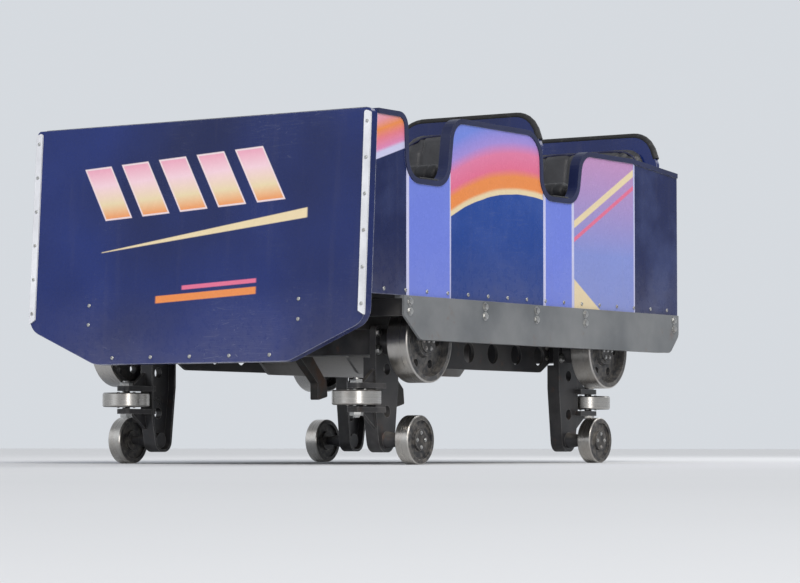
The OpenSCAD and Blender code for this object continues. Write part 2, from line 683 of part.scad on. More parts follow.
// Coupling
module coupling_yoke() color(chassis_black) {
    beam = member_s[4] + channel_w;
    gap = drawbar_t / 2 + yoke_gap;
    half = hitch_pin_r + 25;
    nut_h = 6;
    union() {
        for (z = [z_bar + gap, z_bar - gap - yoke_t]) {
            box([X(yoke_s), -half, z], [X(beam), half, z + yoke_t]);
            translate([X(yoke_s), 0, z]) cylinder(r = half, h = yoke_t);
        }
        translate([X(yoke_s), 0, z_bar - gap - yoke_t - nut_h])
            cylinder(r = hitch_pin_r, h = 2 * (gap + yoke_t + nut_h));
    }
}
module drawbar() color([0.20, 0.20, 0.21]) {
    waist = 20;
    translate([0, 0, z_bar - drawbar_t / 2]) difference() {
        union() {
            linear_extrude(drawbar_t) polygon([[X(yoke_s), head_r - 3], [X((yoke_s + eye_s) / 2), waist],
                [X(eye_s), eye_r + eye_rim - 3], [X(eye_s), 3 - eye_r - eye_rim],
                [X((yoke_s + eye_s) / 2), -waist], [X(yoke_s), 3 - head_r]]);
            translate([X(yoke_s), 0, 0]) cylinder(r = head_r, h = drawbar_t);
            translate([X(eye_s), 0, 0]) cylinder(r = eye_r + eye_rim, h = drawbar_t);
        }
        translate([X(yoke_s), 0, -lap]) cylinder(r = hitch_pin_r + run_gap, h = drawbar_t + 2 * lap);
        translate([X(eye_s), 0, -lap]) cylinder(r = eye_r, h = drawbar_t + 2 * lap);
    }
}

chassis_channels();
cross_members();
side_frames();
nose_brackets();
side_sills();
floor_pan();
nose_panel();
nose_trim();
dash_panel();
side_wall(1);  // side_wall_left
side_wall(-1);  // side_wall_right
side_copings();
rear_panel();
seat_bases();
seat_shell(row_s[0]);  // seat_shell_front
seat_shell(row_s[1]);  // seat_shell_rear
seat_cushions();
back_cushions();
seat_dividers();
grab_rails();
lap_bar_mounts();
axle_beams();
wheel_carriers();
brake_fins();
dog_brackets();
coupling_yoke();
road_wheel(axle_s[0], 1);  // road_wheel_fl
road_wheel(axle_s[0], -1);  // road_wheel_fr
road_wheel(axle_s[1], 1);  // road_wheel_rl
road_wheel(axle_s[1], -1);  // road_wheel_rr
guide_wheel(axle_s[0], 1, 1);  // guide_wheel_fl
guide_wheel(axle_s[0], 1, -1);  // guide_wheel_fr
guide_wheel(axle_s[1], -1, 1);  // guide_wheel_rl
guide_wheel(axle_s[1], -1, -1);  // guide_wheel_rr
upstop_wheel(axle_s[0], 1);  // upstop_wheel_fl
upstop_wheel(axle_s[0], -1);  // upstop_wheel_fr
upstop_wheel(axle_s[1], 1);  // upstop_wheel_rl
upstop_wheel(axle_s[1], -1);  // upstop_wheel_rr
lap_bar(row_s[0], 1);  // lap_bar_fl
lap_bar(row_s[0], -1);  // lap_bar_fr
lap_bar(row_s[1], 1);  // lap_bar_rl
lap_bar(row_s[1], -1);  // lap_bar_rr
lap_pad(row_s[0], 1);  // lap_pad_fl
lap_pad(row_s[0], -1);  // lap_pad_fr
lap_pad(row_s[1], 1);  // lap_pad_rl
lap_pad(row_s[1], -1);  // lap_pad_rr
dog(0);  // chain_dog
dog(1);  // rollback_dog
drawbar();
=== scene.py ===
import json
import math
import bmesh
import bpy
import numpy as np
from mathutils import Matrix, Vector


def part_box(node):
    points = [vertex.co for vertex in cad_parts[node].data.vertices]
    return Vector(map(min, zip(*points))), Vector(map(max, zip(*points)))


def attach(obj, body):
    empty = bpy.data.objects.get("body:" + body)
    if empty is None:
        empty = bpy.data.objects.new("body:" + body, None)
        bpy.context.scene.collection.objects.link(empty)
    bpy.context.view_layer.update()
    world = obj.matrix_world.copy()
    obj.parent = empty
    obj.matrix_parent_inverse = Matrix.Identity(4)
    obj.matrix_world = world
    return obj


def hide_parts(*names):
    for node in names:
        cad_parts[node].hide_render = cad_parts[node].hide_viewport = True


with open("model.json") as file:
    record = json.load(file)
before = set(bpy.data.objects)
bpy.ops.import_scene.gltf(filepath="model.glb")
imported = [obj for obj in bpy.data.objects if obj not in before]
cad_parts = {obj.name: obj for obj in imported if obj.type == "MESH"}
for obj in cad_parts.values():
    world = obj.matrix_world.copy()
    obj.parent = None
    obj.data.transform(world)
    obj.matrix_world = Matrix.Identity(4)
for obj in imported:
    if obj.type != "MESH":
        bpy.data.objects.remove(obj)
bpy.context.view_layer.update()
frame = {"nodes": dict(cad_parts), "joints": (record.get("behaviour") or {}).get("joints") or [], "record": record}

nodes = frame["nodes"]
pins = {joint["child"]: Vector(joint["pos_m"]) for joint in frame["joints"]}
both = (1, -1)


def faceOf(node, end, axis):
    # the low (0) or high (1) face of a CAD node's box
    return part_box(node)[end]["xyz".index(axis)]


# the car's places in metres, x forward and y to the riders' left, read off the CAD nodes and joints
seatDepth, copingDepth = 0.425, 0.016
car = {
    "noseX": faceOf("nose_panel", 1, "x"),
    "noseTopZ": faceOf("nose_panel", 1, "z"),
    "noseHeight": 0.745,
    "noseLean": math.radians(3.3),
    "rowNames": ("front", "rear"),
    "rowX": [faceOf("seat_shell_" + row, 1, "x") - seatDepth for row in ("front", "rear")],
    "seatY": pins["lap_bar_fl"].y,
    "backLean": math.radians(11),
    "backPad": 0.046,           # room for the back cushions, ahead of the shells
    "dipAhead": 0.605,          # middle of the step-in dips ahead of the seat backs
    "dipZ": faceOf("side_copings", 0, "z") + copingDepth,
    "floorZ": faceOf("floor_pan", 1, "z"),
    "panZ": faceOf("seat_cushions", 0, "z"),
    "channelZ": faceOf("chassis_channels", 0, "z"),
    "wallY": faceOf("side_wall_left", 1, "y"),
    "innerY": faceOf("side_wall_left", 0, "y"),
    "wallFootZ": faceOf("side_wall_left", 0, "z"),
    "wheelNames": ("fl", "fr", "rl", "rr"),
}


# Small helpers for modelling

def pickOnly(piece):
    bpy.ops.object.select_all(action="DESELECT")
    piece.select_set(True)
    bpy.context.view_layer.objects.active = piece


def settle(name):
    # names the new piece and puts its place into its mesh
    bpy.ops.object.transform_apply(location=True, rotation=True, scale=True)
    bpy.context.object.name = name
    return bpy.context.object


def addBlock(name, low, high):
    bpy.ops.object.select_all(action="DESELECT")
    middle = [(a + b) / 2 for a, b in zip(low, high)]
    bpy.ops.mesh.primitive_cube_add(size=1, location=middle, scale=[b - a for a, b in zip(low, high)])
    return settle(name)


turns = {"X": (0, math.pi / 2, 0), "Y": (-math.pi / 2, 0, 0), "Z": (0, 0, 0)}


def addRod(name, centre, radius, length, sides, axis="Z"):
    bpy.ops.object.select_all(action="DESELECT")
    bpy.ops.mesh.primitive_cone_add(vertices=sides, radius1=radius, radius2=radius, depth=length,
                                    location=centre, rotation=turns[axis])
    return settle(name)


def shape(piece, kind, wanted, *steps):
    # runs edit-mode steps on the faces or edges that wanted(middle, normal or direction) names
    pickOnly(piece)
    bpy.ops.object.mode_set(mode="EDIT")
    bpy.ops.mesh.select_mode(type=kind)
    bpy.ops.mesh.select_all(action="DESELECT")
    mesh = bmesh.from_edit_mesh(piece.data)
    if kind == "FACE":
        items = [(face, face.calc_center_median(), face.normal) for face in mesh.faces]
    else:
        ends = [(edge, *(v.co for v in edge.verts)) for edge in mesh.edges]
        items = [(edge, (a + b) / 2, (b - a).normalized()) for edge, a, b in ends]
    for item, middle, way in items:
        item.select_set(bool(wanted(middle, way)))
    bmesh.update_edit_mesh(piece.data)
    for step in steps:
        step()
    bpy.ops.object.mode_set(mode="OBJECT")
    return piece


def roundEdges(piece, width, segments=2, wanted=lambda middle, way: True):
    return shape(piece, "EDGE", wanted, lambda: bpy.ops.mesh.bevel(
        offset=width, segments=segments, affect="EDGES", clamp_overlap=True))


def insetTop(piece, thickness, depth):
    return shape(piece, "FACE", lambda middle, normal: normal.z > 0.95,
                 lambda: bpy.ops.mesh.inset(thickness=thickness, depth=depth))


def modify(piece, kind, **settings):
    pickOnly(piece)
    change = piece.modifiers.new(kind.title(), kind)
    for key, value in settings.items():
        setattr(change, key, value)
    bpy.ops.object.modifier_apply(modifier=change.name)
    return piece


def linked(name, data):
    piece = bpy.data.objects.new(name, data)
    bpy.context.scene.collection.objects.link(piece)
    return piece


def copied(piece, name, turn):
    twin = linked(name, piece.data.copy())
    twin.data.transform(turn)
    if turn.determinant() < 0:
        twin.data.flip_normals()
    return twin


def joined(name, parts):
    pickOnly(parts[0])
    for part in parts:
        part.select_set(True)
    if len(parts) > 1:
        bpy.ops.object.join()
    parts[0].name = name
    return parts[0]


def finished(piece, body, finish, smooth=35):
    piece.data.materials.clear()
    piece.data.materials.append(finish)
    pickOnly(piece)
    bpy.ops.object.shade_smooth_by_angle(angle=math.radians(smooth))
    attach(piece, body)
    return piece


def points(piece, kind="co"):
    # the places of a mesh's points, or with "normal" the ways they face
    flat = np.empty(len(piece.data.vertices) * 3)
    piece.data.vertices.foreach_get(kind, flat)
    return flat.reshape(-1, 3)


def movePoints(piece, places):
    piece.data.vertices.foreach_set("co", np.asarray(places, float).ravel())
    piece.data.update()


def tube(name, path, radius, closed=True):
    # a round bead along a line of points, turned into a mesh
    line = bpy.data.curves.new(name, "CURVE")
    line.dimensions = "3D"
    line.bevel_depth = radius
    line.bevel_resolution = 3
    line.use_fill_caps = not closed
    spline = line.splines.new("POLY")
    spline.points.add(len(path) - 1)
    for point, place in zip(spline.points, path):
        point.co = (*place, 1)
    spline.use_cyclic_u = closed
    pickOnly(linked(name, line))
    bpy.ops.object.convert(target="MESH")
    return bpy.context.object


# Small helpers for node materials. A Field is a node's output that plain sums work on

drawing = {}        # the finish being made, its node tree and its object coordinates


class Field:
    def __init__(self, socket):
        self.socket = socket

    def __add__(self, other):
        return calc("ADD", self, other)

    def __sub__(self, other):
        return calc("SUBTRACT", self, other)

    def __rsub__(self, other):
        return calc("SUBTRACT", other, self)

    def __mul__(self, other):
        return calc("MULTIPLY", self, other)

    def __truediv__(self, other):
        return calc("DIVIDE", self, other)

    def clamped(self):
        self.socket.node.use_clamp = True
        return self


def link(value, socket):
    if isinstance(value, Field):
        drawing["tree"].links.new(value.socket, socket)
    else:
        socket.default_value = (*value, 1) if socket.type == "RGBA" else value


def put(kind, inputs=None, output=0, **settings):
    node = drawing["tree"].nodes.new("ShaderNode" + kind)
    for key, value in settings.items():
        setattr(node, key, value)
    for key, value in (inputs or {}).items():
        link(value, node.inputs[key])
    return Field(node.outputs[output])


def calc(what, a, b=0.0):
    return put("Math", {0: a, 1: b}, operation=what)


def mixed(share, a, b):
    return put("Mix", {0: share, 6: a, 7: b}, 2, data_type="RGBA")


def ramp(value, stops, way="LINEAR"):
    # stops are (place, colour)
    field = put("ValToRGB", {0: value})
    bar = field.socket.node.color_ramp
    bar.interpolation = way
    while len(bar.elements) < len(stops):
        bar.elements.new(0.5)
    for element, (place, tone) in zip(bar.elements, stops):
        element.position = place
        element.color = (*tone, 1)
    return field


def rescale(value, low, high, newLow=0.0, newHigh=1.0):
    return put("MapRange", {0: value, 1: low, 2: high, 3: newLow, 4: newHigh}, clamp=True)


def between(value, low, high, soft=0.003):
    return rescale(value, low - soft, low + soft) * rescale(value, high + soft, high - soft)


def split(vector):
    # the x, y and z of a vector
    return [Field(part) for part in put("SeparateXYZ", {0: vector}).socket.node.outputs]


def stretched(scale=(1, 1, 1), shift=(0, 0, 0), turn=(0, 0, 0)):
    return put("Mapping", {"Vector": drawing["where"], "Scale": scale, "Location": shift, "Rotation": turn})


def noise(scale, detail, rough=0.55, where=None):
    return put("TexNoise", {"Vector": where or drawing["where"], "Scale": scale, "Detail": detail,
                            "Roughness": rough})


def cells(scale, where=None, uneven=1.0, **settings):
    return put("TexVoronoi", {"Vector": where or drawing["where"], "Scale": scale, "Randomness": uneven},
               "Distance", **settings)


def bumped(height, distance, strength):
    return put("Bump", {"Height": height, "Distance": distance, "Strength": strength})


def edgeMask(width, grain):
    # bright along the edges, broken up by the grain: worn edges, and on gelcoat also a painted edge highlight
    rounded, true = put("Bevel", {"Radius": width}, samples=4), put("NewGeometry", output="Normal")
    facing = put("VectorMath", {0: rounded, 1: true}, "Value", operation="DOT_PRODUCT")
    return rescale((1.0 - facing) * calc("POWER", grain, 3.0), 0.006, 0.022)


def upFacing():
    return split(put("NewGeometry", output="Normal"))[2]


def toned(tone, factor, lift=0.0):
    return tuple(min(1, t * factor + lift) for t in tone)


socketNames = {"rough": "Roughness", "metal": "Metallic", "coat": "Coat Weight", "coatRough": "Coat Roughness",
               "sheen": "Sheen Weight", "sheenRough": "Sheen Roughness", "colour": "Base Color",
               "specular": "Specular IOR Level", "normal": "Normal"}


def shaderSocket(key):
    return drawing["tree"].nodes["Principled BSDF"].inputs[socketNames[key]]


def newFinish(name, **fixed):
    drawing["finish"] = bpy.data.materials.new(name)
    drawing["finish"].use_nodes = True
    drawing["tree"] = drawing["finish"].node_tree
    drawing["where"] = put("TexCoord", output="Object")
    for key, value in fixed.items():
        shaderSocket(key).default_value = value


def connect(**fields):
    for key, field in fields.items():
        link(field, shaderSocket(key))
    return drawing["finish"]


dustTone = (0.30, 0.27, 0.23)
bareSteel = (0.36, 0.35, 0.34)
rustTone = (0.16, 0.065, 0.03)
navyTone = (0.006, 0.013, 0.075)
royalTone = (0.009, 0.024, 0.150)
lavenderTone = (0.155, 0.21, 0.69)
paleTone = (0.58, 0.58, 0.80)
creamTone = (0.78, 0.64, 0.40)
orangeTone = (0.80, 0.26, 0.07)
pinkTone = (0.74, 0.16, 0.28)


def paintedMetal(name, tone, rough, wear, dust, rust, grease=0.0):
    # brushed or sprayed paint on steel, rubbed at its edges, with dust on what faces up
    newFinish(name, specular=0.45)
    broad, grain, fine = noise(5.0, 5.0), noise(42.0, 5.0, 0.65), noise(420.0, 2.0)
    shade = mixed(rescale(broad, 0.3, 0.75), toned(tone, 0.72), toned(tone, 1.25, 0.01))
    lying = rescale(upFacing(), 0.2, 1.0) * rescale(grain, 0.3, 0.7)
    dirty = (lying + rescale(broad, 0.42, 0.72) * 0.35).clamped() * dust
    shade = mixed(dirty, shade, dustTone)
    shade = mixed(rescale(noise(16.0, 8.0, 0.7), 0.60, 0.70) * rust, shade, rustTone)
    worn = edgeMask(0.003, grain) * wear
    shade = mixed(worn, shade, bareSteel)
    gloss = dirty * 0.35 + rescale(broad, 0.2, 0.8, rough - 0.08, rough + 0.12)
    if grease:
        wet = rescale(noise(11.0, 3.0), 0.5, 0.62) * grease
        shade = mixed(wet, shade, (0.012, 0.010, 0.008))
        gloss = gloss - wet * 0.22
    return connect(colour=shade, rough=gloss, metal=worn * 0.9, normal=bumped(fine * 0.4 - worn * 1.5, 0.00025, 0.7))


def gelcoat(name, pattern, dirtLow, dirtHigh):
    # painted glass fibre under clear coat, with fine scratches, a little sun fade, road dust low down, and paler
    # edges that are partly worn paint and partly a painted highlight
    newFinish(name, coat=0.18, coatRough=0.06, specular=0.18)
    shade = pattern()
    broad, grain = noise(2.2, 4.0), noise(38.0, 6.0, 0.68)
    height = split(drawing["where"])[2]
    shade = mixed(rescale(broad, 0.45, 0.80) * 0.03, shade, (0.16, 0.20, 0.48))
    low = rescale(height, dirtHigh, dirtLow) * (rescale(grain, 0.25, 0.75, 0.35) * rescale(broad, 0.3, 0.6, 0.4))
    streaks = rescale(noise(1.0, 4.0, where=stretched((26, 26, 1.6))), 0.56, 0.74)
    grime = ((low * 0.25 + streaks * 0.045) * 0.70).clamped()
    shade = mixed(grime, shade, dustTone)
    # paler edges: partly scratched wear, partly a painted highlight along the edges
    shade = mixed(edgeMask(0.0035, grain) * 0.65, shade, (0.52, 0.53, 0.58))
    scratches = cells(1.3, stretched((7, 7, 140), turn=(0.3, 0.5, 0.2)), feature="DISTANCE_TO_EDGE")
    scratched = rescale(scratches, 0.012, 0.0) * rescale(broad, 0.45, 0.6)
    shade = mixed(scratched * 0.18, shade, (0.62, 0.63, 0.68))
    gloss = rescale(grain, 0.25, 0.8, 0.20, 0.34) + grime * 0.4
    peel = noise(160.0, 1.0) * 0.5 + noise(9.0, 1.0) * 5.0
    return connect(colour=shade, rough=gloss, normal=bumped(peel, 0.0004, 0.5))


def plainNavy():
    return mixed(rescale(noise(1.6, 2.0), 0.35, 0.65), navyTone, royalTone)


sidePaint = {
    # (distance behind the nose, colour): plain areas and the pale lines between them
    "areas": ((0.0, navyTone), (0.226, paleTone), (0.236, lavenderTone), (0.460, paleTone),
              (0.470, (0.009, 0.056, 0.30)), (1.025, paleTone), (1.035, lavenderTone), (1.203, paleTone),
              (1.220, (0.22, 0.27, 0.62)), (1.620, paleTone), (1.628, navyTone)),
    "length": 1.93, "cloudTone": (0.30, 0.40, 0.85), "inside": (0.010, 0.012, 0.040),
    "first": (0.472, 1.023), "firstDeep": (0.008, 0.034, 0.19),
    "duskFoot": 0.335, "duskDepth": 0.225, "duskSlope": 0.16, "duskBow": -0.50,
    "dusk": ((0.0, creamTone), (0.055, creamTone), (0.10, orangeTone), (0.25, orangeTone), (0.36, pinkTone),
             (0.58, (0.72, 0.20, 0.36)), (0.74, (0.36, 0.26, 0.66)), (1.0, (0.17, 0.24, 0.70))),
    "strip": (0.0, 0.225), "stripFoot": 0.375, "stripDepth": 0.17, "stripSlope": 0.30,
    "stripTones": ((0.0, paleTone), (0.10, paleTone), (0.16, (0.70, 0.24, 0.45)), (0.34, (0.76, 0.20, 0.24)),
                   (0.50, orangeTone), (0.66, (0.76, 0.30, 0.36)), (1.0, (0.72, 0.50, 0.66))),
    "rear": (1.222, 1.618), "blush": (0.18, 0.50), "blushTone": (0.56, 0.27, 0.48),
    "slopes": ((0.50, -0.350, -0.325, creamTone), (0.50, -0.395, -0.380, pinkTone)),
    "cornerLength": 0.17, "cornerHeight": 0.095,
}


def sidePattern():
    # upright areas: a dusk of bowed bands on the first, a blush and two slanted lines on the rear one
    look = sidePaint
    x, y, z = split(drawing["where"])
    behind, height = car["noseX"] - x, z - car["wallFootZ"]
    base = ramp(behind / look["length"], [(place / look["length"], tone) for place, tone in look["areas"]],
                "CONSTANT")
    cloud = noise(5.0, 3.0)
    base = mixed(rescale(cloud, 0.45, 0.7) * 0.08, base, look["cloudTone"])
    onFirst = between(behind, *look["first"], 0.001)
    base = mixed(onFirst * rescale(height, 0.0, look["duskFoot"], 0.75, 0.0), base, look["firstDeep"])
    away = behind - sum(look["first"]) / 2
    level = height - (away * look["duskSlope"] + away * away * look["duskBow"]) - look["duskFoot"]
    level = level + (cloud - 0.5) * 0.012
    base = mixed(onFirst * rescale(level, -0.001, 0.001), base,
                 ramp(rescale(level, 0.0, look["duskDepth"]), look["dusk"]))
    foot = look["stripFoot"]
    slant = height - behind * look["stripSlope"]
    base = mixed(between(behind, *look["strip"], 0.001) * rescale(slant, foot - 0.001, foot + 0.001), base,
                 ramp(rescale(slant, foot, foot + look["stripDepth"]), look["stripTones"]))
    onRear = between(behind, *look["rear"], 0.001)
    base = mixed(onRear * rescale(height, *look["blush"], 0, 0.85), base, look["blushTone"])
    for slope, low, high, tone in look["slopes"]:
        base = mixed(onRear * between(height + behind * -slope, low, high, 0.0015), base, tone)
    top = look["cornerHeight"]
    corner = height + (behind - look["rear"][0]) * (top / look["cornerLength"])
    base = mixed(onRear * rescale(corner, top + 0.0015, top - 0.0015), base, creamTone)
    outside = rescale(calc("ABSOLUTE", y), car["wallY"] - 0.0015, car["wallY"] - 0.0008)
    return mixed(outside, look["inside"], base)


nosePaint = {
    # heights are below the nose's top, breadths from its middle, positive to the riders' left
    "bars": {"pitch": 0.150, "from": 0.02, "to": 0.74, "rim": 0.035, "right": -0.42, "left": 0.33, "lean": 0.55,
             "middle": 0.173, "top": 0.108, "foot": 0.278, "rise": 0.055, "rimTone": (0.80, 0.66, 0.68),
             "tones": ((0.0, orangeTone), (0.30, creamTone), (0.65, (0.85, 0.60, 0.66)),
                       (1.0, (0.78, 0.34, 0.46)))},
    "line": {"right": -0.36, "left": 0.42, "rise": 0.12, "drop": 0.353, "thin": 0.001, "thick": 0.015},
    "streaks": ((-0.14, 0.24, 0.553, 0.531, orangeTone), (-0.04, 0.24, 0.519, 0.506, pinkTone)),
    "streakRise": 0.05,
}


def nosePattern():
    # five slanted bars with pale rims, a tapering line under them and two short streaks low down
    x, y, z = split(drawing["where"])
    height = z - car["noseTopZ"]
    bars, line = nosePaint["bars"], nosePaint["line"]
    slant = y + (height + bars["middle"]) * bars["lean"]
    turn = calc("FRACT", (slant - bars["right"]) / bars["pitch"])
    level = height - y * bars["rise"]
    tone = ramp(rescale(level, -bars["foot"], -bars["top"]), bars["tones"])
    span = between(slant, bars["right"], bars["left"], 0.001)
    shade = plainNavy()
    for rim, colour in ((0.0, bars["rimTone"]), (bars["rim"], tone)):
        rimZ = rim * bars["pitch"]
        shown = between(turn, bars["from"] + rim, bars["to"] - rim, 0.008) * span
        shown = shown * between(level, rimZ - bars["foot"], -bars["top"] - rimZ, 0.0012)
        shade = mixed(shown, shade, colour)
    taper = rescale(y, line["right"], line["left"], line["thin"], line["thick"])
    sweep = calc("ABSOLUTE", height - y * line["rise"] + line["drop"])
    shown = rescale(sweep - taper, 0.0015, -0.0015) * between(y, line["right"], line["left"])
    shade = mixed(shown, shade, creamTone)
    level = height - y * nosePaint["streakRise"]
    for right, left, foot, top, colour in nosePaint["streaks"]:
        shade = mixed(between(y, right, left) * between(level, -foot, -top, 0.0015), shade, colour)
    return shade


def moulded(name, tone, rough, grainScale=900.0, depth=0.00012, scuff=0.3):
    # moulded plastic or rubber with a fine grain and pale scuffs
    newFinish(name, specular=0.4)
    broad, grain = noise(6.0, 5.0), cells(grainScale)
    scuffs = rescale(noise(1.5, 6.0, 0.7, stretched((4, 30, 30))), 0.58, 0.70) * scuff
    shade = mixed(rescale(broad, 0.3, 0.7), toned(tone, 0.75), toned(tone, 1.2))
    shade = mixed(scuffs, shade, toned(tone, 0.6, 0.09))
    shade = mixed(edgeMask(0.002, noise(60.0, 4.0)) * 0.4, shade, toned(tone, 0.6, 0.12))
    return connect(colour=shade, rough=rescale(broad, 0.25, 0.8, rough - 0.08, rough + 0.12),
                   normal=bumped(grain, depth, 0.8))


def vinyl(name, tone):
    # upholstery vinyl: pebbled grain, soft folds, shine where riders rub it
    newFinish(name, sheen=0.12, sheenRough=0.5, specular=0.5)
    broad, pebbles = noise(7.0, 4.0), cells(520.0, uneven=0.9)
    creases = cells(75.0, stretched(turn=(0.3, 0.2, 0.7)), feature="DISTANCE_TO_EDGE")
    folds = noise(11.0, 3.0, where=stretched((1, 2.2, 1)))
    shade = mixed(rescale(broad, 0.3, 0.7), tone, toned(tone, 1.6, 0.006))
    faded = rescale(upFacing(), 0.3, 1.0) * rescale(broad, 0.45, 0.7)
    shade = mixed(faded * 0.35, shade, (0.085, 0.083, 0.085))
    height = pebbles * 0.5 + rescale(creases, 0.0, 0.06) * 0.6 + folds * 5.0
    return connect(colour=shade, rough=rescale(broad, 0.3, 0.75, 0.50, 0.34), normal=bumped(height, 0.00035, 0.8))


def webbing(name, tone):
    # woven polyester belt: fine ribs across and along
    newFinish(name, sheen=0.3, sheenRough=0.4)
    along, across = (put("TexWave", {"Vector": drawing["where"], "Scale": scale, "Distortion": 0.4}, 1,
                         bands_direction=way) for scale, way in ((260.0, "X"), (340.0, "Y")))
    weave = calc("MAXIMUM", along, across)
    shade = mixed(weave, toned(tone, 0.45), toned(tone, 1.3))
    shade = mixed(noise(14.0, 4.0) * 0.25, shade, dustTone)
    return connect(colour=shade, rough=rescale(weave, 0, 1, 0.85, 0.62), normal=bumped(weave, 0.0003, 0.9))


def bareMetal(name, tone, rough, brush, brown):
    # bare steel with brush marks in one direction and a brown bloom in places
    newFinish(name, metal=1.0)
    marks, broad = noise(14.0, 6.0, 0.7, stretched(brush)), noise(9.0, 5.0)
    shade = mixed(marks, toned(tone, 0.8), toned(tone, 1.15))
    stained = rescale(broad, 0.52, 0.70) * brown
    shade = mixed(stained, shade, (0.22, 0.13, 0.08))
    gloss = rescale(marks, 0.2, 0.8, rough - 0.08, rough + 0.10) + stained * 0.4
    return connect(colour=shade, rough=gloss, normal=bumped(marks, 0.0002, 0.6))


def turned(name, centre, axis, radius, web, tread):
    # a wheel: lathe rings on the tread and rim, paint on the web, dust and grease in the hub
    newFinish(name, specular=0.5)
    flat = split(stretched(shift=tuple(-c for c in centre)))
    along = flat.pop("XYZ".index(axis))
    away = calc("SQRT", flat[0] * flat[0] + flat[1] * flat[1])
    share = away / radius
    rings = noise(1.0, 3.0, where=put("CombineXYZ", {0: away * 900.0, 1: along * 900.0}))
    broad, grain = noise(14.0, 5.0), noise(60.0, 5.0, 0.65)
    bare = (rescale(share, 0.955, 0.975) + edgeMask(0.002, grain) * 0.7).clamped()
    paint = mixed(rescale(broad, 0.3, 0.7), toned(web, 0.7), toned(web, 1.35))
    paint = mixed(rescale(grain, 0.40, 0.72) * 0.45, paint, dustTone)
    wet = rescale(share, 0.50, 0.20) * rescale(broad, 0.42, 0.6)
    paint = mixed(wet * 0.8, paint, (0.014, 0.011, 0.009))
    steel = mixed(rings, toned(tread, 0.8), tread)
    steel = mixed(rescale(broad, 0.5, 0.7) * 0.3, steel, (0.20, 0.13, 0.09))
    gloss = mixed(bare, rescale(broad, 0.2, 0.8, 0.42, 0.60), rescale(rings, 0.2, 0.8, 0.22, 0.36))
    return connect(colour=mixed(bare, paint, steel), metal=bare, rough=gloss,
                   normal=bumped(rings + grain * 0.8, 0.0002, 0.6))


def castMetal(name, tone, rough):
    # forged steel, pitted and brown in places
    newFinish(name, metal=0.75)
    pits, broad = noise(130.0, 6.0, 0.7), noise(12.0, 4.0)
    shade = mixed(broad, toned(tone, 0.6), toned(tone, 1.5))
    shade = mixed(rescale(broad, 0.52, 0.66) * 0.5, shade, rustTone)
    shade = mixed(edgeMask(0.003, pits), shade, bareSteel)
    return connect(colour=shade, rough=rescale(pits, 0.2, 0.8, rough - 0.1, rough + 0.2),
                   normal=bumped(pits, 0.0006, 0.8))


def nonSlip(name, tone):
    # epoxy with grit, trodden pale
    newFinish(name, specular=0.35)
    grit, broad = cells(380.0), noise(5.0, 5.0)
    trodden = rescale(noise(3.0, 6.0, 0.6), 0.48, 0.66)
    shade = mixed(rescale(broad, 0.3, 0.7), tone, toned(tone, 1.5))
    shade = mixed(trodden * 0.4, shade, dustTone)
    return connect(colour=shade, rough=rescale(trodden, 0, 1, 0.85, 0.6), normal=bumped(grit, 0.0009, 0.8))


finishes = {
    "navy_gelcoat": gelcoat("navyGelcoat", plainNavy, 0.50, 0.66),
    "nosePainted": gelcoat("nosePainted", nosePattern, 0.30, 0.55),
    "painted_side": gelcoat("sidePainted", sidePattern, 0.50, 0.68),
    "white_trim": paintedMetal("whiteTrim", (0.74, 0.75, 0.79), 0.32, 0.6, 0.25, 0.12),
    "grey_sill": paintedMetal("greySill", (0.150, 0.160, 0.170), 0.48, 0.6, 0.4, 0.30),
    "black_steel": paintedMetal("chassisBlack", (0.022, 0.022, 0.025), 0.42, 0.7, 0.45, 0.4, 0.2),
    "carrier_steel": paintedMetal("carrierBlack", (0.030, 0.030, 0.034), 0.40, 0.9, 0.40, 0.35, 0.5),
    "bar_steel": paintedMetal("barBlack", (0.018, 0.018, 0.020), 0.34, 0.8, 0.12, 0.05),
    "pad_foam": moulded("padFoam", (0.020, 0.020, 0.023), 0.55, 700.0, 0.00025, 0.35),
    "cushion_vinyl": vinyl("seatVinyl", (0.022, 0.022, 0.026)),
    "shell_navy": gelcoat("shellNavy", plainNavy, 0.60, 0.72),
    "copingRubber": moulded("copingRubber", (0.010, 0.016, 0.065), 0.42, 600.0, 0.0001, 0.10),
    "floor_grey": nonSlip("nonSlipFloor", (0.055, 0.056, 0.060)),
    "dash_black": moulded("dashBlack", (0.028, 0.030, 0.038), 0.5),
    "rail_steel": bareMetal("stainlessTube", (0.62, 0.62, 0.63), 0.26, (60, 1, 60), 0.08),
    "fin_steel": bareMetal("finSteel", (0.42, 0.41, 0.40), 0.34, (1, 60, 60), 0.5),
    "dog_steel": castMetal("forgedSteel", (0.10, 0.095, 0.09), 0.5),
}
vinylFinish = finishes["cushion_vinyl"]
pipingFinish = moulded("pipingVinyl", (0.016, 0.018, 0.060), 0.42, 600.0, 0.0001, 0.1)
rubberFinish = moulded("blackRubber", (0.016, 0.016, 0.017), 0.62, 500.0, 0.0002, 0.5)
zincFinish = bareMetal("zincBolts", (0.50, 0.50, 0.49), 0.36, (1, 1, 1), 0.45)
beltFinish = webbing("beltWebbing", (0.030, 0.032, 0.045))
redFinish = moulded("redButton", (0.50, 0.020, 0.015), 0.35, 800.0, 0.00005, 0.2)
wheelTones = {"road": (0.035, 0.036, 0.040), "other": (0.024, 0.024, 0.027), "tread": (0.58, 0.56, 0.53)}

for part in frame["record"]["subparts"]:
    name, slotName = part["node"], part["material_slot"]
    if slotName in ("wheel_steel", "wheel_black"):
        low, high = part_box(name)
        finish = turned(name + "_turned", (low + high) / 2, "Z" if name.startswith("guide") else "Y",
                        (high.x - low.x) / 2, wheelTones["road" if name.startswith("road") else "other"],
                        wheelTones["tread"])
    else:
        finish = finishes[{"nose_panel": "nosePainted", "side_copings": "copingRubber"}.get(name, slotName)]
    nodes[name].data.materials.clear()
    nodes[name].data.materials.append(finish)
print("stage: finishes on", len(nodes), "nodes")


# Soft pieces

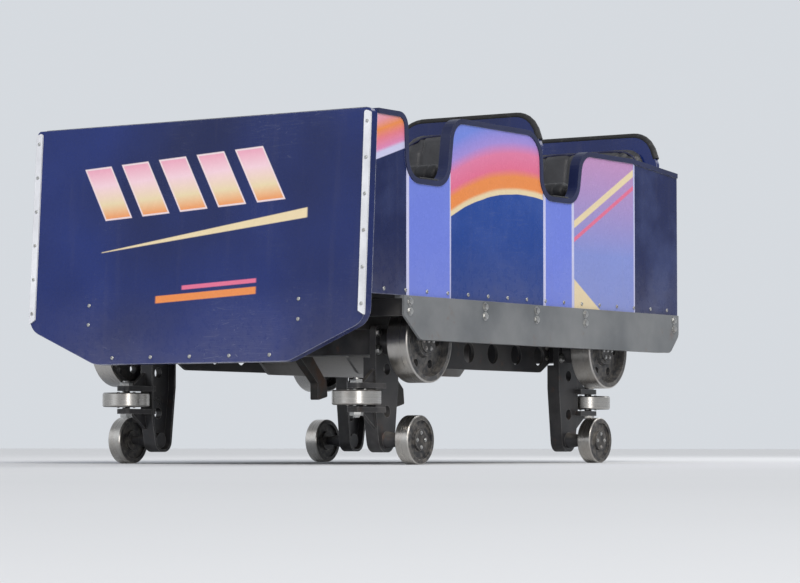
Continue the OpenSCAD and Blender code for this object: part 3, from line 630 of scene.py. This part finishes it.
def inflate(piece, look, held):
    # swells a closed shape as stuffing does, and lets no point move further than the cap
    modify(piece, "REMESH", mode="VOXEL", voxel_size=look["voxel"])
    before, frames = points(piece), 20
    group = piece.vertex_groups.new(name="held")
    group.add([int(i) for i in np.nonzero(held(before))[0]], 1, "REPLACE")
    cloth = piece.modifiers.new("Cloth", "CLOTH")
    for key, value in {"use_pressure": True, "uniform_pressure_force": look["pressure"],
                       "vertex_group_mass": "held", "tension_stiffness": 12, "compression_stiffness": 12,
                       "bending_stiffness": 0.6}.items():
        setattr(cloth.settings, key, value)
    cloth.settings.effector_weights.gravity = 0
    cloth.point_cache.frame_start, cloth.point_cache.frame_end = 1, frames
    for step in range(1, frames + 1):
        bpy.context.scene.frame_set(step)
    pickOnly(piece)
    bpy.ops.object.modifier_apply(modifier=cloth.name)
    after = points(piece)
    gone = np.linalg.norm(after - before, axis=1, keepdims=True)
    movePoints(piece, before + (after - before) * np.minimum(1, look["cap"] / np.maximum(gone, 1e-9)))
    bpy.context.scene.frame_set(1)
    piece.vertex_groups.clear()
    modify(piece, "SMOOTH", iterations=4, factor=0.5)
    modify(piece, "SUBSURF", levels=1, render_levels=1)


def sewChannels(piece, axis, lines, width, depth, way=None):
    # presses seams across an axis into the side that faces a way, or all round
    places, away = points(piece), points(piece, "normal")
    press = sum(np.exp(-((places[:, axis] - line) / width) ** 2) for line in lines)
    if way is not None:
        press *= np.clip(away @ np.array(way), 0, 1)
    movePoints(piece, places - away * (press * depth)[:, None])


def softMaster(name, node, look, low, high, lay=None):
    # a merged copy of the part of a CAD node in a box, shrunk, set down on what carries it, swollen and sewn
    piece = linked(name, nodes[node].data.copy())
    if lay is not None:
        piece.data.transform(lay.inverted())
    pickOnly(piece)
    bpy.ops.object.mode_set(mode="EDIT")
    bpy.ops.mesh.select_all(action="SELECT")
    bpy.ops.mesh.remove_doubles(threshold=0.00001)
    bpy.ops.object.mode_set(mode="OBJECT")
    shape(piece, "FACE", lambda middle, normal: not all(a <= c <= b for a, c, b in zip(low, middle, high)),
          lambda: bpy.ops.mesh.delete(type="FACE"))
    places = points(piece)
    lowest, highest = places.min(0), places.max(0)
    middle, size = (lowest + highest) / 2, highest - lowest
    movePoints(piece, middle + (places - middle) * (size - 2 * np.array(look["inset"])) / size)
    movePoints(piece, points(piece) - np.array(look["down"]))
    axis, foot = look["rests"]
    inflate(piece, look, lambda p: p[:, axis] < foot)
    sewChannels(piece, *look["seams"])
    return piece


def piping(name, piece, look, a, b):
    # a bead round a cushion: a rectangle along a and b, brought onto the surface from outside
    centre, (halfA, halfB) = Vector(look["ringCentre"]), look["ringHalves"]
    path, steps = [], 96
    for k in range(steps):
        angle = 2 * math.pi * k / steps
        reach = min(halfA / max(abs(math.cos(angle)), 1e-6), halfB / max(abs(math.sin(angle)), 1e-6))
        away = a * math.cos(angle) + b * math.sin(angle)
        hit, place, normal, index = piece.ray_cast(centre + away * (reach + 0.1), -away)
        path.append(place if hit else centre + away * reach)
    path = [(path[k - 1] + path[k] * 2 + path[(k + 1) % steps]) / 4 for k in range(steps)]
    return tube(name, path, look["pipingRadius"])


rowX, seatY, panZ = car["rowX"], car["seatY"], car["panZ"]
wayX, wayY, wayZ = Vector((1, 0, 0)), Vector((0, 1, 0)), Vector((0, 0, 1))
riders = [(row, side, f"{rowName}_{sideName}") for row, rowName in enumerate(car["rowNames"])
          for side, sideName in ((1, "left"), (-1, "right"))]


def toSeat(row, side):
    return Matrix.Translation((rowX[row] - rowX[0], (side - 1) * seatY, 0))


def backFrame(row):
    # places along a seat back: x ahead of the shell, z up its slope
    return Matrix.Translation((rowX[row] - car["backPad"], 0, panZ)) @ Matrix.Rotation(-car["backLean"], 4, "Y")


def padded(master, name, turn, node=None, body="car", finish=vinylFinish):
    # a finished soft copy of a master, which stands for a CAD node where one is named
    piece = finished(copied(master, name, turn), body, finish, 60)
    if node:
        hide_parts(node)


seat = {
    "voxel": 0.008, "inset": (0.006, 0.008, 0.007), "pressure": 4.0, "cap": 0.014, "fill": 0.75,
    "down": (0, 0, 0.006), "rests": (2, panZ + 0.008),
    "seams": (0, (rowX[0] + 0.125, rowX[0] + 0.260), 0.007, 0.0065, wayZ),
    "pipingRadius": 0.0042, "ringHalves": (0.23, 0.27), "ringCentre": (rowX[0] + 0.20, seatY, panZ + 0.054),
}
seatMaster = softMaster("seatCushionMaster", "seat_cushions", seat, (rowX[0] - 0.1, seatY - 0.28, panZ - 0.01),
                        (rowX[0] + 0.45, seatY + 0.28, panZ + 0.10))
seatPiping = piping("seatPipingMaster", seatMaster, seat, wayX, wayY)

back = {
    "voxel": 0.008, "inset": (0.006, 0.008, 0.008), "pressure": 4.0, "cap": 0.013, "fill": 0.75,
    "down": (0.005, 0, 0), "rests": (0, 0.007),
    "seams": (1, [seatY + y for y in (-0.150, -0.050, 0.050, 0.150)], 0.008, 0.006, wayX),
    "pipingRadius": 0.0042, "ringHalves": (0.27, 0.19), "ringCentre": (0.026, seatY, 0.25),
}
lay = backFrame(0)
backMaster = softMaster("backCushionMaster", "back_cushions", back, (-0.05, seatY - 0.28, 0.0),
                        (0.10, seatY + 0.28, 0.6), lay)
backPiping = piping("backPipingMaster", backMaster, back, wayY, wayZ)
for piece in (backMaster, backPiping):
    piece.data.transform(lay)

divider = {
    "voxel": 0.007, "inset": (0.005, 0.006, 0.005), "pressure": 3.0, "cap": 0.007, "fill": 0.8,
    "down": (0.003, 0, 0.004), "rests": (2, panZ + 0.006), "seams": (1, (-0.024, 0.024), 0.004, 0.003, wayZ),
}
dividerMaster = softMaster("dividerMaster", "seat_dividers", divider, (rowX[0] - 0.2, -0.1, 0.6),
                           (rowX[0] + 0.45, 0.1, 1.0))

for row, side, label in riders:
    shift = toSeat(row, side)
    for kind, look, master, bead in (("seat", seat, seatMaster, seatPiping), ("back", back, backMaster, backPiping)):
        padded(master, f"{kind}Cushion_{label}", shift, kind + "_cushions")
        finished(copied(bead, f"{kind}Piping_{label}", shift), "car", pipingFinish, 60)
    if side < 0:
        padded(dividerMaster, "divider_" + car["rowNames"][row], toSeat(row, 1), "seat_dividers")
print("stage: cushions and dividers")

lapPad = {"radius": 0.036, "length": 0.322, "round": 0.012, "voxel": 0.006, "pressure": 3.0, "cap": 0.006,
          "fill": 0.95, "ribs": 7, "ribSpan": 0.78, "ribWidth": 0.0045, "ribDepth": 0.0028}
barCap = {"radius": 0.0175, "length": 0.022, "reach": 0.186, "round": 0.005}
padPlace = sum(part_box("lap_pad_fl"), Vector()) / 2
half = lapPad["length"] / 2
padMaster = addRod("lapPadMaster", (padPlace.x, seatY, padPlace.z), lapPad["radius"], lapPad["length"], 40, "Y")
roundEdges(padMaster, lapPad["round"], 3, lambda middle, way: abs(abs(middle.y - seatY) - half) < 0.001)
inflate(padMaster, lapPad, lambda p: abs(p[:, 1] - seatY) > half - 0.002)
ribLines = [seatY + lapPad["length"] * (k / (lapPad["ribs"] - 1) - 0.5) * lapPad["ribSpan"]
            for k in range(lapPad["ribs"])]
sewChannels(padMaster, 1, ribLines, lapPad["ribWidth"], lapPad["ribDepth"])
caps = [addRod("cap", (padPlace.x, seatY + y * barCap["reach"], padPlace.z), barCap["radius"], barCap["length"],
               24, "Y") for y in both]
capMaster = joined("barCapMaster", [roundEdges(cap, barCap["round"], 3, lambda middle, way: abs(way.y) < 0.5)
                                    for cap in caps])
for (row, side, label), wheelName in zip(riders, car["wheelNames"]):
    body, shift = "lap_bar_" + wheelName, toSeat(row, side)
    padded(padMaster, "lapPad_" + wheelName, shift, "lap_pad_" + wheelName, body, finishes["pad_foam"])
    finished(copied(capMaster, "barCaps_" + wheelName, shift), body, rubberFinish)
print("stage: lap pads")

liner = {"low": (rowX[0] + 0.01, 0.5955, 0.775), "high": (rowX[0] + 0.395, 0.611, 0.985), "corner": 0.04,
         "voxel": 0.007, "pressure": 3.0, "cap": 0.007, "fill": 0.8, "held": 0.0015,
         "seams": (2, (0.845, 0.915), 0.006, 0.004, -wayY)}
linerMaster = addBlock("linerMaster", liner["low"], liner["high"])
roundEdges(linerMaster, liner["corner"], 5, lambda middle, way: abs(way.y) > 0.9)
inflate(linerMaster, liner, lambda p: p[:, 1] > liner["high"][1] - liner["held"])
sewChannels(linerMaster, *liner["seams"])
for row, side, label in riders:
    padded(linerMaster, "sideLiner_" + label, toSeat(row, 1) @ Matrix.Diagonal((1, side, 1, 1)))

dashHalf, dashChannels = 0.595, 6
dash = {"low": (0.955, -dashHalf, 1.034), "high": (1.030, dashHalf, 1.050), "round": 0.006, "voxel": 0.008,
        "pressure": 3.0, "cap": 0.008, "fill": 0.8, "held": 0.002,
        "seams": (1, [2 * dashHalf * (k / dashChannels - 0.5) for k in range(1, dashChannels)], 0.007, 0.005, wayZ)}
dashPad = addBlock("dashPad", dash["low"], dash["high"])
roundEdges(dashPad, dash["round"])
inflate(dashPad, dash, lambda p: p[:, 2] < dash["low"][2] + dash["held"])
sewChannels(dashPad, *dash["seams"])
finished(dashPad, "car", vinylFinish, 60)
print("stage: liners and dash pad")

# belts lie on the seat cushion: each point of the strap is dropped onto it
belt = {"width": 0.046, "thickness": 0.0022, "steps": 22, "strips": 4, "lift": 0.0026, "above": 0.9, "besideZ": 0.75,
        "path": ((0.000, 0.205), (0.085, 0.190), (0.150, 0.026))}      # from the side, by a bend, to the buckle


def dropped(x, y):
    hit, place, normal, index = seatMaster.ray_cast(Vector((x, y, belt["above"])), -wayZ)
    return place.z + belt["lift"] if hit else belt["besideZ"]


def strap(name, side):
    start, bend, end = (Vector((rowX[0] + x, seatY + side * y)) for x, y in belt["path"])
    steps = belt["steps"]
    bpy.ops.object.select_all(action="DESELECT")
    bpy.ops.mesh.primitive_grid_add(x_subdivisions=steps, y_subdivisions=belt["strips"], size=1)
    piece = settle(name)
    columns = np.round((points(piece)[:, 0] + 0.5) * steps).astype(int)
    places = []
    for column, across in zip(columns, points(piece)[:, 1]):
        t = column / steps
        place = start * (1 - t) ** 2 + bend * 2 * t * (1 - t) + end * t * t
        way = ((bend - start) * (1 - t) + (end - bend) * t).normalized()
        at = place + Vector((-way.y, way.x)) * (across * belt["width"])
        places.append((at.x, at.y, dropped(at.x, at.y)))
    places = np.array(places)
    for k in range(steps + 1):
        here, near = columns == k, abs(columns - k) <= 1
        places[here, 2] = 0.5 * places[here, 2] + 0.5 * places[near, 2].max()
    movePoints(piece, places)
    return modify(piece, "SOLIDIFY", thickness=belt["thickness"], offset=1)


beltMaster = joined("beltMaster", [strap("strap", side) for side in both])
buckle = {
    # each block's half breadth, then what it spans along y and z from the buckle's place
    "housing": (0.025, (-0.040, 0.022), (0, 0.017)), "button": (0.017, (-0.037, -0.014), (0.008, 0.0175)),
    "tongue": (0.022, (0.016, 0.044), (0.005, 0.008)),
    "ahead": 0.152, "lift": 0.003, "barY": 0.040, "barUp": 0.0065, "barRadius": 0.0042, "barLength": 0.040,
    "round": {"housing": 0.006, "button": 0.002, "tongue": 0.005}, "rim": 0.004, "dished": 0.0015,
}
buckleX = rowX[0] + buckle["ahead"]
buckleZ = dropped(buckleX, seatY) + buckle["lift"]


def atBuckle(part, segments, wanted=lambda middle, way: True):
    half, y, z = buckle[part]
    block = addBlock(part + "Master", (buckleX - half, seatY + y[0], buckleZ + z[0]),
                     (buckleX + half, seatY + y[1], buckleZ + z[1]))
    return roundEdges(block, buckle["round"][part], segments, wanted)


housing = insetTop(atBuckle("housing", 3), buckle["rim"], -buckle["dished"])
button = atBuckle("button", 2)
tongue = atBuckle("tongue", 3, lambda middle, way: abs(way.z) > 0.9)
tongueBar = addRod("tongueBar", (buckleX, seatY + buckle["barY"], buckleZ + buckle["barUp"]), buckle["barRadius"],
                   buckle["barLength"], 20, "X")
tongue = joined("tongueMaster", [tongue, tongueBar])
beltKinds = ((beltMaster, "seatBelt", beltFinish, "cushion_vinyl"), (housing, "buckle", rubberFinish, "dash_black"),
             (button, "buckleButton", redFinish, "dash_black"), (tongue, "buckleTongue", zincFinish, "rail_steel"))
for row, side, label in riders:
    for master, kind, finish, slotName in beltKinds:
        finished(copied(master, f"{kind}_{label}", toSeat(row, side)), "car", finish, 40)
print("stage: belts and buckles")

for piece in (seatMaster, seatPiping, backMaster, backPiping, dividerMaster, padMaster, capMaster, linerMaster,
              beltMaster, housing, button, tongue):
    bpy.data.objects.remove(piece)


# Rubber edging, mats and treads

shellBead = {"radius": 0.0115, "steps": 72, "half": 0.596, "into": 0.004, "ahead": -0.009}
noseBead = {"radius": 0.0125, "steps": 40, "half": 0.612, "behind": 0.0595, "below": 0.009}


def beadLine(bead):
    return [bead["half"] * (2 * k / bead["steps"] - 1) for k in range(bead["steps"] + 1)]


def edging(name, path, bead):
    finished(tube(name, path, bead["radius"], closed=False), "car", rubberFinish, 60)


for row, rowName in enumerate(car["rowNames"]):
    lay = backFrame(row)
    down = lay.to_3x3() @ -wayZ
    path = []
    for y in beadLine(shellBead):
        start = lay @ Vector((shellBead["ahead"], y, 0.9))
        hit, place, normal, index = nodes["seat_shell_" + rowName].ray_cast(start, down)
        if hit:
            path.append(place + down * shellBead["into"])
    edging("shellEdging_" + rowName, path, shellBead)
edging("noseEdging", [(car["noseX"] - noseBead["behind"], y, car["noseTopZ"] - noseBead["below"])
                      for y in beadLine(noseBead)], noseBead)


def ribbedMat(name, look, x, y, z):
    # a rubber mat between two places along x and y, with a raised border and rows of rounded ribs
    pitch, width, height, top = look["ribPitch"], look["ribWidth"], look["ribHeight"], z + look["thickness"]
    mat = roundEdges(addBlock(name, (x[0], y[0], z), (x[1], y[1], top)), look["round"])
    insetTop(mat, width * 0.7, -height * 0.5)
    room = x[1] - x[0] - 2 * pitch
    count = max(2, int(room / pitch))
    rib = addBlock("rib", (x[0] + pitch, y[0] + pitch * 0.8, top - height * 0.8),
                   (x[0] + pitch + width, y[1] - pitch * 0.8, top + height * 0.2))
    roundEdges(rib, width * 0.3)
    modify(rib, "ARRAY", count=count + 1, use_relative_offset=False, use_constant_offset=True,
           constant_offset_displace=(room / count, 0, 0))
    finished(joined(name, [mat, rib]), "car", rubberFinish)


mats = {
    "rows": (("front", (0.590, 0.868)), ("rear", (-0.190, -0.012))),
    "sides": (("left", (0.384, 0.604)), ("middle", (-0.262, 0.262)), ("right", (-0.604, -0.384))),
    "thickness": 0.007, "round": 0.0025, "ribPitch": 0.021, "ribWidth": 0.009, "ribHeight": 0.003,
}
for rowName, x in mats["rows"]:
    for part, y in mats["sides"]:
        ribbedMat(f"floorMat_{rowName}_{part}", mats, x, y, car["floorZ"])

treads = {"half": 0.050, "inset": 0.004, "thickness": 0.005, "round": 0.0025, "ribPitch": 0.012,
          "ribWidth": 0.005, "ribHeight": 0.002}
for row, side, label in riders:
    middle = rowX[row] + car["dipAhead"]
    y = sorted((side * (car["innerY"] - treads["inset"]), side * (car["wallY"] + treads["inset"])))
    ribbedMat("stepTread_" + label, treads, (middle - treads["half"], middle + treads["half"]), y, car["dipZ"])
print("stage: edging, mats and treads")


# Bolts and screws: each kind is modelled once, and its copies are joined for each body

def hexBolt(name, radius, height):
    washer = addRod(name, (0, 0, radius * 0.08), radius * 1.4, radius * 0.16, 28)
    head = addRod("head", (0, 0, height / 2 + radius * 0.16), radius, height, 6)
    roundEdges(head, radius * 0.10, 2, lambda middle, way: middle.z > height * 0.9)
    return joined(name, [washer, head])


def domeScrew(name, radius, height):
    head = addRod(name, (0, 0, height / 2), radius, height, 24)
    roundEdges(head, height * 0.75, 4, lambda middle, way: middle.z > height * 0.9)
    return shape(head, "FACE", lambda middle, normal: normal.z > 0.99,
                 lambda: bpy.ops.mesh.inset(thickness=radius * 0.18, depth=0),
                 lambda: bpy.ops.mesh.inset(thickness=0.0002, depth=-height * 0.5))


def studNut(name, radius, height):
    nut = addRod(name, (0, 0, height / 2), radius, height, 6)
    roundEdges(nut, radius * 0.08, 2, lambda middle, way: middle.z > height * 0.9)
    stud = addRod("stud", (0, 0, height * 0.75), radius * 0.5, height * 1.5, 20)
    roundEdges(stud, radius * 0.08, 2, lambda middle, way: middle.z > height)
    return joined(name, [nut, stud])


bolts = {
    "sill": hexBolt("sillBolt", 0.010, 0.006), "frame": hexBolt("frameBolt", 0.0105, 0.007),
    "small": hexBolt("smallBolt", 0.0062, 0.004), "tiny": hexBolt("tinyBolt", 0.0045, 0.0024),
    "screw": domeScrew("panelScrew", 0.0062, 0.0030), "trim": domeScrew("trimScrew", 0.0055, 0.0026),
    "nut": studNut("bigNut", 0.021, 0.011), "pinNut": studNut("pinNut", 0.017, 0.009),
    "yokeNut": studNut("endNut", 0.026, 0.012),
}


def fasten(name, kind, spots, body="car"):
    # spots are (place, direction the head faces)
    parts = []
    for k, (place, way) in enumerate(spots):
        spin = Matrix.Rotation(math.radians(17 * k), 4, "Z")
        turn = Vector(way).to_track_quat("Z", "Y").to_matrix().to_4x4()
        parts.append(copied(bolts[kind], "part", Matrix.Translation(place) @ turn @ spin))
    finished(joined(name, parts), body, zincFinish, 40)


def eachSide(places):
    # the same places on the left and on the right, facing outwards
    return [((x, side * y, z), (0, side, 0)) for x, y, z in places for side in both]


def alongPin(centres, half):
    # both ends of each pin that lies along y
    return [(centre + wayY * (side * half), (0, side, 0)) for centre in centres for side in both]


def circle(count, radius, start=0.0):
    # places round a circle, as pairs
    angles = [start + 2 * math.pi * k / count for k in range(count)]
    return [(radius * math.cos(angle), radius * math.sin(angle)) for angle in angles]


# where the fasteners sit, in metres from the piece that they hold
hold = {
    "memberS": (0.085, 0.640, 0.950, 1.260, 1.870),     # cross members, behind the nose
    "memberMiddle": 0.023, "memberUp": (0.026, 0.074),
    "armS": (0.230, 0.655, 0.965, 1.275, 1.885),        # middles of the arms to the sills
    "armBelowFoot": (0.018, 0.047),
    "wallFirst": 0.105, "wallPitch": 0.1165, "wallCount": 16, "wallUp": 0.016,
    "trimInset": 0.012, "trimFirst": 0.165, "trimPitch": 0.108, "trimCount": 6, "trimThickness": 0.005,
    "bracketY": 0.40, "bracketUp": (0.125, 0.185), "noseRowUp": 0.020, "noseRowPitch": 0.15,
    "carrierX": 0.048, "carrierBelowTop": (0.022, 0.075), "plateHalf": 0.011, "lugZ": 0.0445,
    "frameEnd": 0.019, "frameBelow": (0.027, 0.062),
    "finFirst": 0.029, "finPitch": 0.130, "finCount": 6, "finBelow": 0.020, "finFlange": 0.040,
    "rearUp": 0.033, "rearPitch": 0.140, "rearSideY": 0.585, "rearSideUp": (0.148, 0.268, 0.388),
    "mountX": 0.044, "mountY": 0.0445, "mountUp": 0.010, "mountPinHalf": 0.0385, "dogPinHalf": 0.0335,
    "railY": 0.4774, "railFlange": 0.005, "railCircle": 0.0185, "yokeBelow": 0.003,
    "roadCircle": 0.026, "roadCap": 0.034, "stopCircle": 0.022, "stopCap": 0.025,
    "guideCircle": 0.026, "guideHalf": 0.0225,
}
noseX, wallY, wallFootZ, channelZ = (car[key] for key in ("noseX", "wallY", "wallFootZ", "channelZ"))
noseOut = Vector((math.cos(car["noseLean"]), 0, math.sin(car["noseLean"])))
noseUp = Vector((-noseOut.z, 0, noseOut.x))
noseFoot = Vector((noseX, 0, car["noseTopZ"] - car["noseHeight"]))


def onNose(y, up, out=0.0):
    return noseFoot + noseUp * up + noseOut * out + wayY * y


sillY = faceOf("side_sills", 1, "y")
fasten("sillBolts", "sill", eachSide((noseX - s, sillY, wallFootZ - drop)
                                     for s in hold["armS"] for drop in hold["armBelowFoot"]))
fasten("wallScrews", "screw", eachSide(
    (noseX - hold["wallFirst"] - hold["wallPitch"] * k, wallY, wallFootZ + hold["wallUp"])
    for k in range(hold["wallCount"])))
fasten("trimScrews", "trim", [
    (onNose(y * (wallY - hold["trimInset"]), hold["trimFirst"] + hold["trimPitch"] * k, hold["trimThickness"]),
     noseOut) for k in range(hold["trimCount"]) for y in both])
noseSpots = [(y * hold["bracketY"], up) for up in hold["bracketUp"] for y in both]
noseSpots += [(k * hold["noseRowPitch"], hold["noseRowUp"]) for k in range(-2, 3)]
fasten("noseScrews", "screw", [(onNose(y, up), noseOut) for y, up in noseSpots])

carrierTop, channelY = faceOf("wheel_carriers", 1, "z"), faceOf("chassis_channels", 1, "y")
guides = {name: pins["guide_wheel_" + name] for name in car["wheelNames"]}
fasten("carrierBolts", "frame", [
    ((pins["road_wheel_" + name].x + dx * hold["carrierX"], place.y + y * hold["plateHalf"], carrierTop - drop),
     (0, y, 0)) for name, place in guides.items() for y in both if y * place.y > 0
    for dx in both for drop in hold["carrierBelowTop"]])
fasten("forkNuts", "nut", [(place + wayZ * (up * hold["lugZ"]), (0, 0, up))
                           for place in guides.values() for up in both])
fasten("channelBolts", "frame", eachSide((noseX - s - hold["memberMiddle"], channelY, channelZ + up)
                                         for s in hold["memberS"] for up in hold["memberUp"]))
frameX, frameY = [faceOf("side_frames", end, "x") for end in (0, 1)], faceOf("side_frames", 1, "y")
fasten("sideFrameBolts", "small", eachSide(
    (x, frameY, channelZ - drop) for x in (frameX[0] + hold["frameEnd"], frameX[1] - hold["frameEnd"])
    for drop in hold["frameBelow"]))
finX, finY = faceOf("brake_fins", 1, "x"), faceOf("brake_fins", 1, "y") - hold["finFlange"]
fasten("finBolts", "small", eachSide(
    (finX - hold["finFirst"] - hold["finPitch"] * k, finY, channelZ - hold["finBelow"])
    for k in range(hold["finCount"])))
rearX, rearZ = faceOf("rear_panel", 0, "x"), faceOf("rear_panel", 0, "z")
rearSpots = [(k * hold["rearPitch"], hold["rearUp"]) for k in range(-4, 5)]
rearSpots += [(y * hold["rearSideY"], up) for up in hold["rearSideUp"] for y in both]
fasten("rearScrews", "screw", [((rearX, y, rearZ + up), (-1, 0, 0)) for y, up in rearSpots])

barPins = [pins["lap_bar_" + name] for name in car["wheelNames"]]
fasten("mountBolts", "small", [
    ((place.x + dx * hold["mountX"], place.y + dy * hold["mountY"], car["floorZ"] + hold["mountUp"]), (0, 0, 1))
    for place in barPins for dx in both for dy in both])
fasten("pivotNuts", "pinNut", alongPin(barPins, hold["mountPinHalf"]))
fasten("dogPinNuts", "pinNut", alongPin([pins["chain_dog"], pins["rollback_dog"]], hold["dogPinHalf"]))
railX = faceOf("grab_rails", 1, "x") - hold["railFlange"]
railZ = (faceOf("grab_rails", 0, "z") + faceOf("grab_rails", 1, "z")) / 2
fasten("railScrews", "tiny", [((railX, y * hold["railY"] + dy, railZ + dz), (-1, 0, 0))
                              for dy, dz in circle(3, hold["railCircle"], 0.5) for y in both])
yokeZ = faceOf("coupling_yoke", 0, "z") - hold["yokeBelow"]
fasten("yokeNut", "yokeNut", [((pins["drawbar"].x, 0, yokeZ), (0, 0, -1))])

for name in car["wheelNames"]:
    road, stop, guide = (pins[kind + name] for kind in ("road_wheel_", "upstop_wheel_", "guide_wheel_"))
    side = math.copysign(1, road.y)
    fasten("roadHub_" + name, "tiny", [
        ((road.x + dx, road.y + side * hold["roadCap"], road.z + dz), (0, side, 0))
        for dx, dz in circle(6, hold["roadCircle"]) + [(0, 0)]], "road_wheel_" + name)
    fasten("upstopHub_" + name, "tiny", [
        ((stop.x + dx, stop.y + side * hold["stopCap"], stop.z + dz), (0, side, 0))
        for dx, dz in circle(4, hold["stopCircle"])], "upstop_wheel_" + name)
    fasten("guideHub_" + name, "tiny", [
        ((guide.x + dx, guide.y + dy, guide.z + up * hold["guideHalf"]), (0, 0, up))
        for dx, dy in circle(4, hold["guideCircle"], 0.4) for up in both], "guide_wheel_" + name)
for master in bolts.values():
    bpy.data.objects.remove(master)
print("stage: bolts")


# Stage, lights and camera

bpy.ops.object.select_all(action="DESELECT")
bpy.ops.mesh.primitive_plane_add(size=60)
ground = bpy.context.object
ground.name = "studioFloor"
newFinish("studioFloorFinish", specular=0.0, rough=0.9)
ground.data.materials.append(connect(colour=mixed(noise(0.6, 3.0), (0.70, 0.71, 0.73), (0.73, 0.74, 0.76))))

backdrop = {"tone": (0.86, 0.90, 0.95, 1), "way": (-0.83, -0.55, 0.05), "dim": 0.42, "bright": 0.78}
world = bpy.data.worlds.new("softSky")
world.use_nodes = True
drawing["tree"] = world.node_tree
facing = put("VectorMath", {0: put("TexCoord", output="Generated"), 1: backdrop["way"]}, "Value",
             operation="DOT_PRODUCT")
sky = world.node_tree.nodes["Background"].inputs
sky[0].default_value = backdrop["tone"]
link(rescale(facing, 0.40, 0.92, backdrop["dim"], backdrop["bright"]), sky[1])
bpy.context.scene.world = world

lights = {
    # name: kind, place, size in metres or degrees, power, colour
    "keySun": ("SUN", (4.0, 4.2, 5.0), 30, 1.9, (1.0, 0.97, 0.93)),
    "frontSun": ("SUN", (5.0, -2.0, 3.0), 50, 0.5, (0.93, 0.96, 1.0)),
    "rearTop": ("AREA", (-3.6, 1.6, 4.0), 3.0, 90, (1.0, 1.0, 1.0)),
    "lowFill": ("AREA", (8.4, 8.4, 1.2), 2.6, 160, (1.0, 0.98, 0.96)),
}
view = {"azimuth": 123.5, "distance": 10.0, "height": 0.06, "lens": 134, "aim": (-0.06, 0.0, 0.575),
        "lit": (0.0, 0.0, 0.55)}


def placed(name, data, place, aim):
    # a lamp or a camera that looks at a place
    holder = linked(name, data)
    holder.location = place
    holder.rotation_euler = (Vector(aim) - Vector(place)).to_track_quat("-Z", "Y").to_euler()
    return holder


for name, (kind, place, size, power, tone) in lights.items():
    lamp = bpy.data.lights.new(name, kind)
    lamp.energy, lamp.color = power, tone
    if kind == "SUN":
        lamp.angle = math.radians(size)
    else:
        lamp.size = size
    placed(name, lamp, place, view["lit"])

angle, aim, away = math.radians(view["azimuth"]), view["aim"], view["distance"]
lens = bpy.data.cameras.new("camera")
lens.lens = view["lens"]
bpy.context.scene.camera = placed("camera", lens, (aim[0] + away * math.sin(angle), aim[1] - away * math.cos(angle),
                                                   view["height"]), aim)
bpy.context.scene.view_settings.view_transform = "Standard"
print("stage: light and camera")
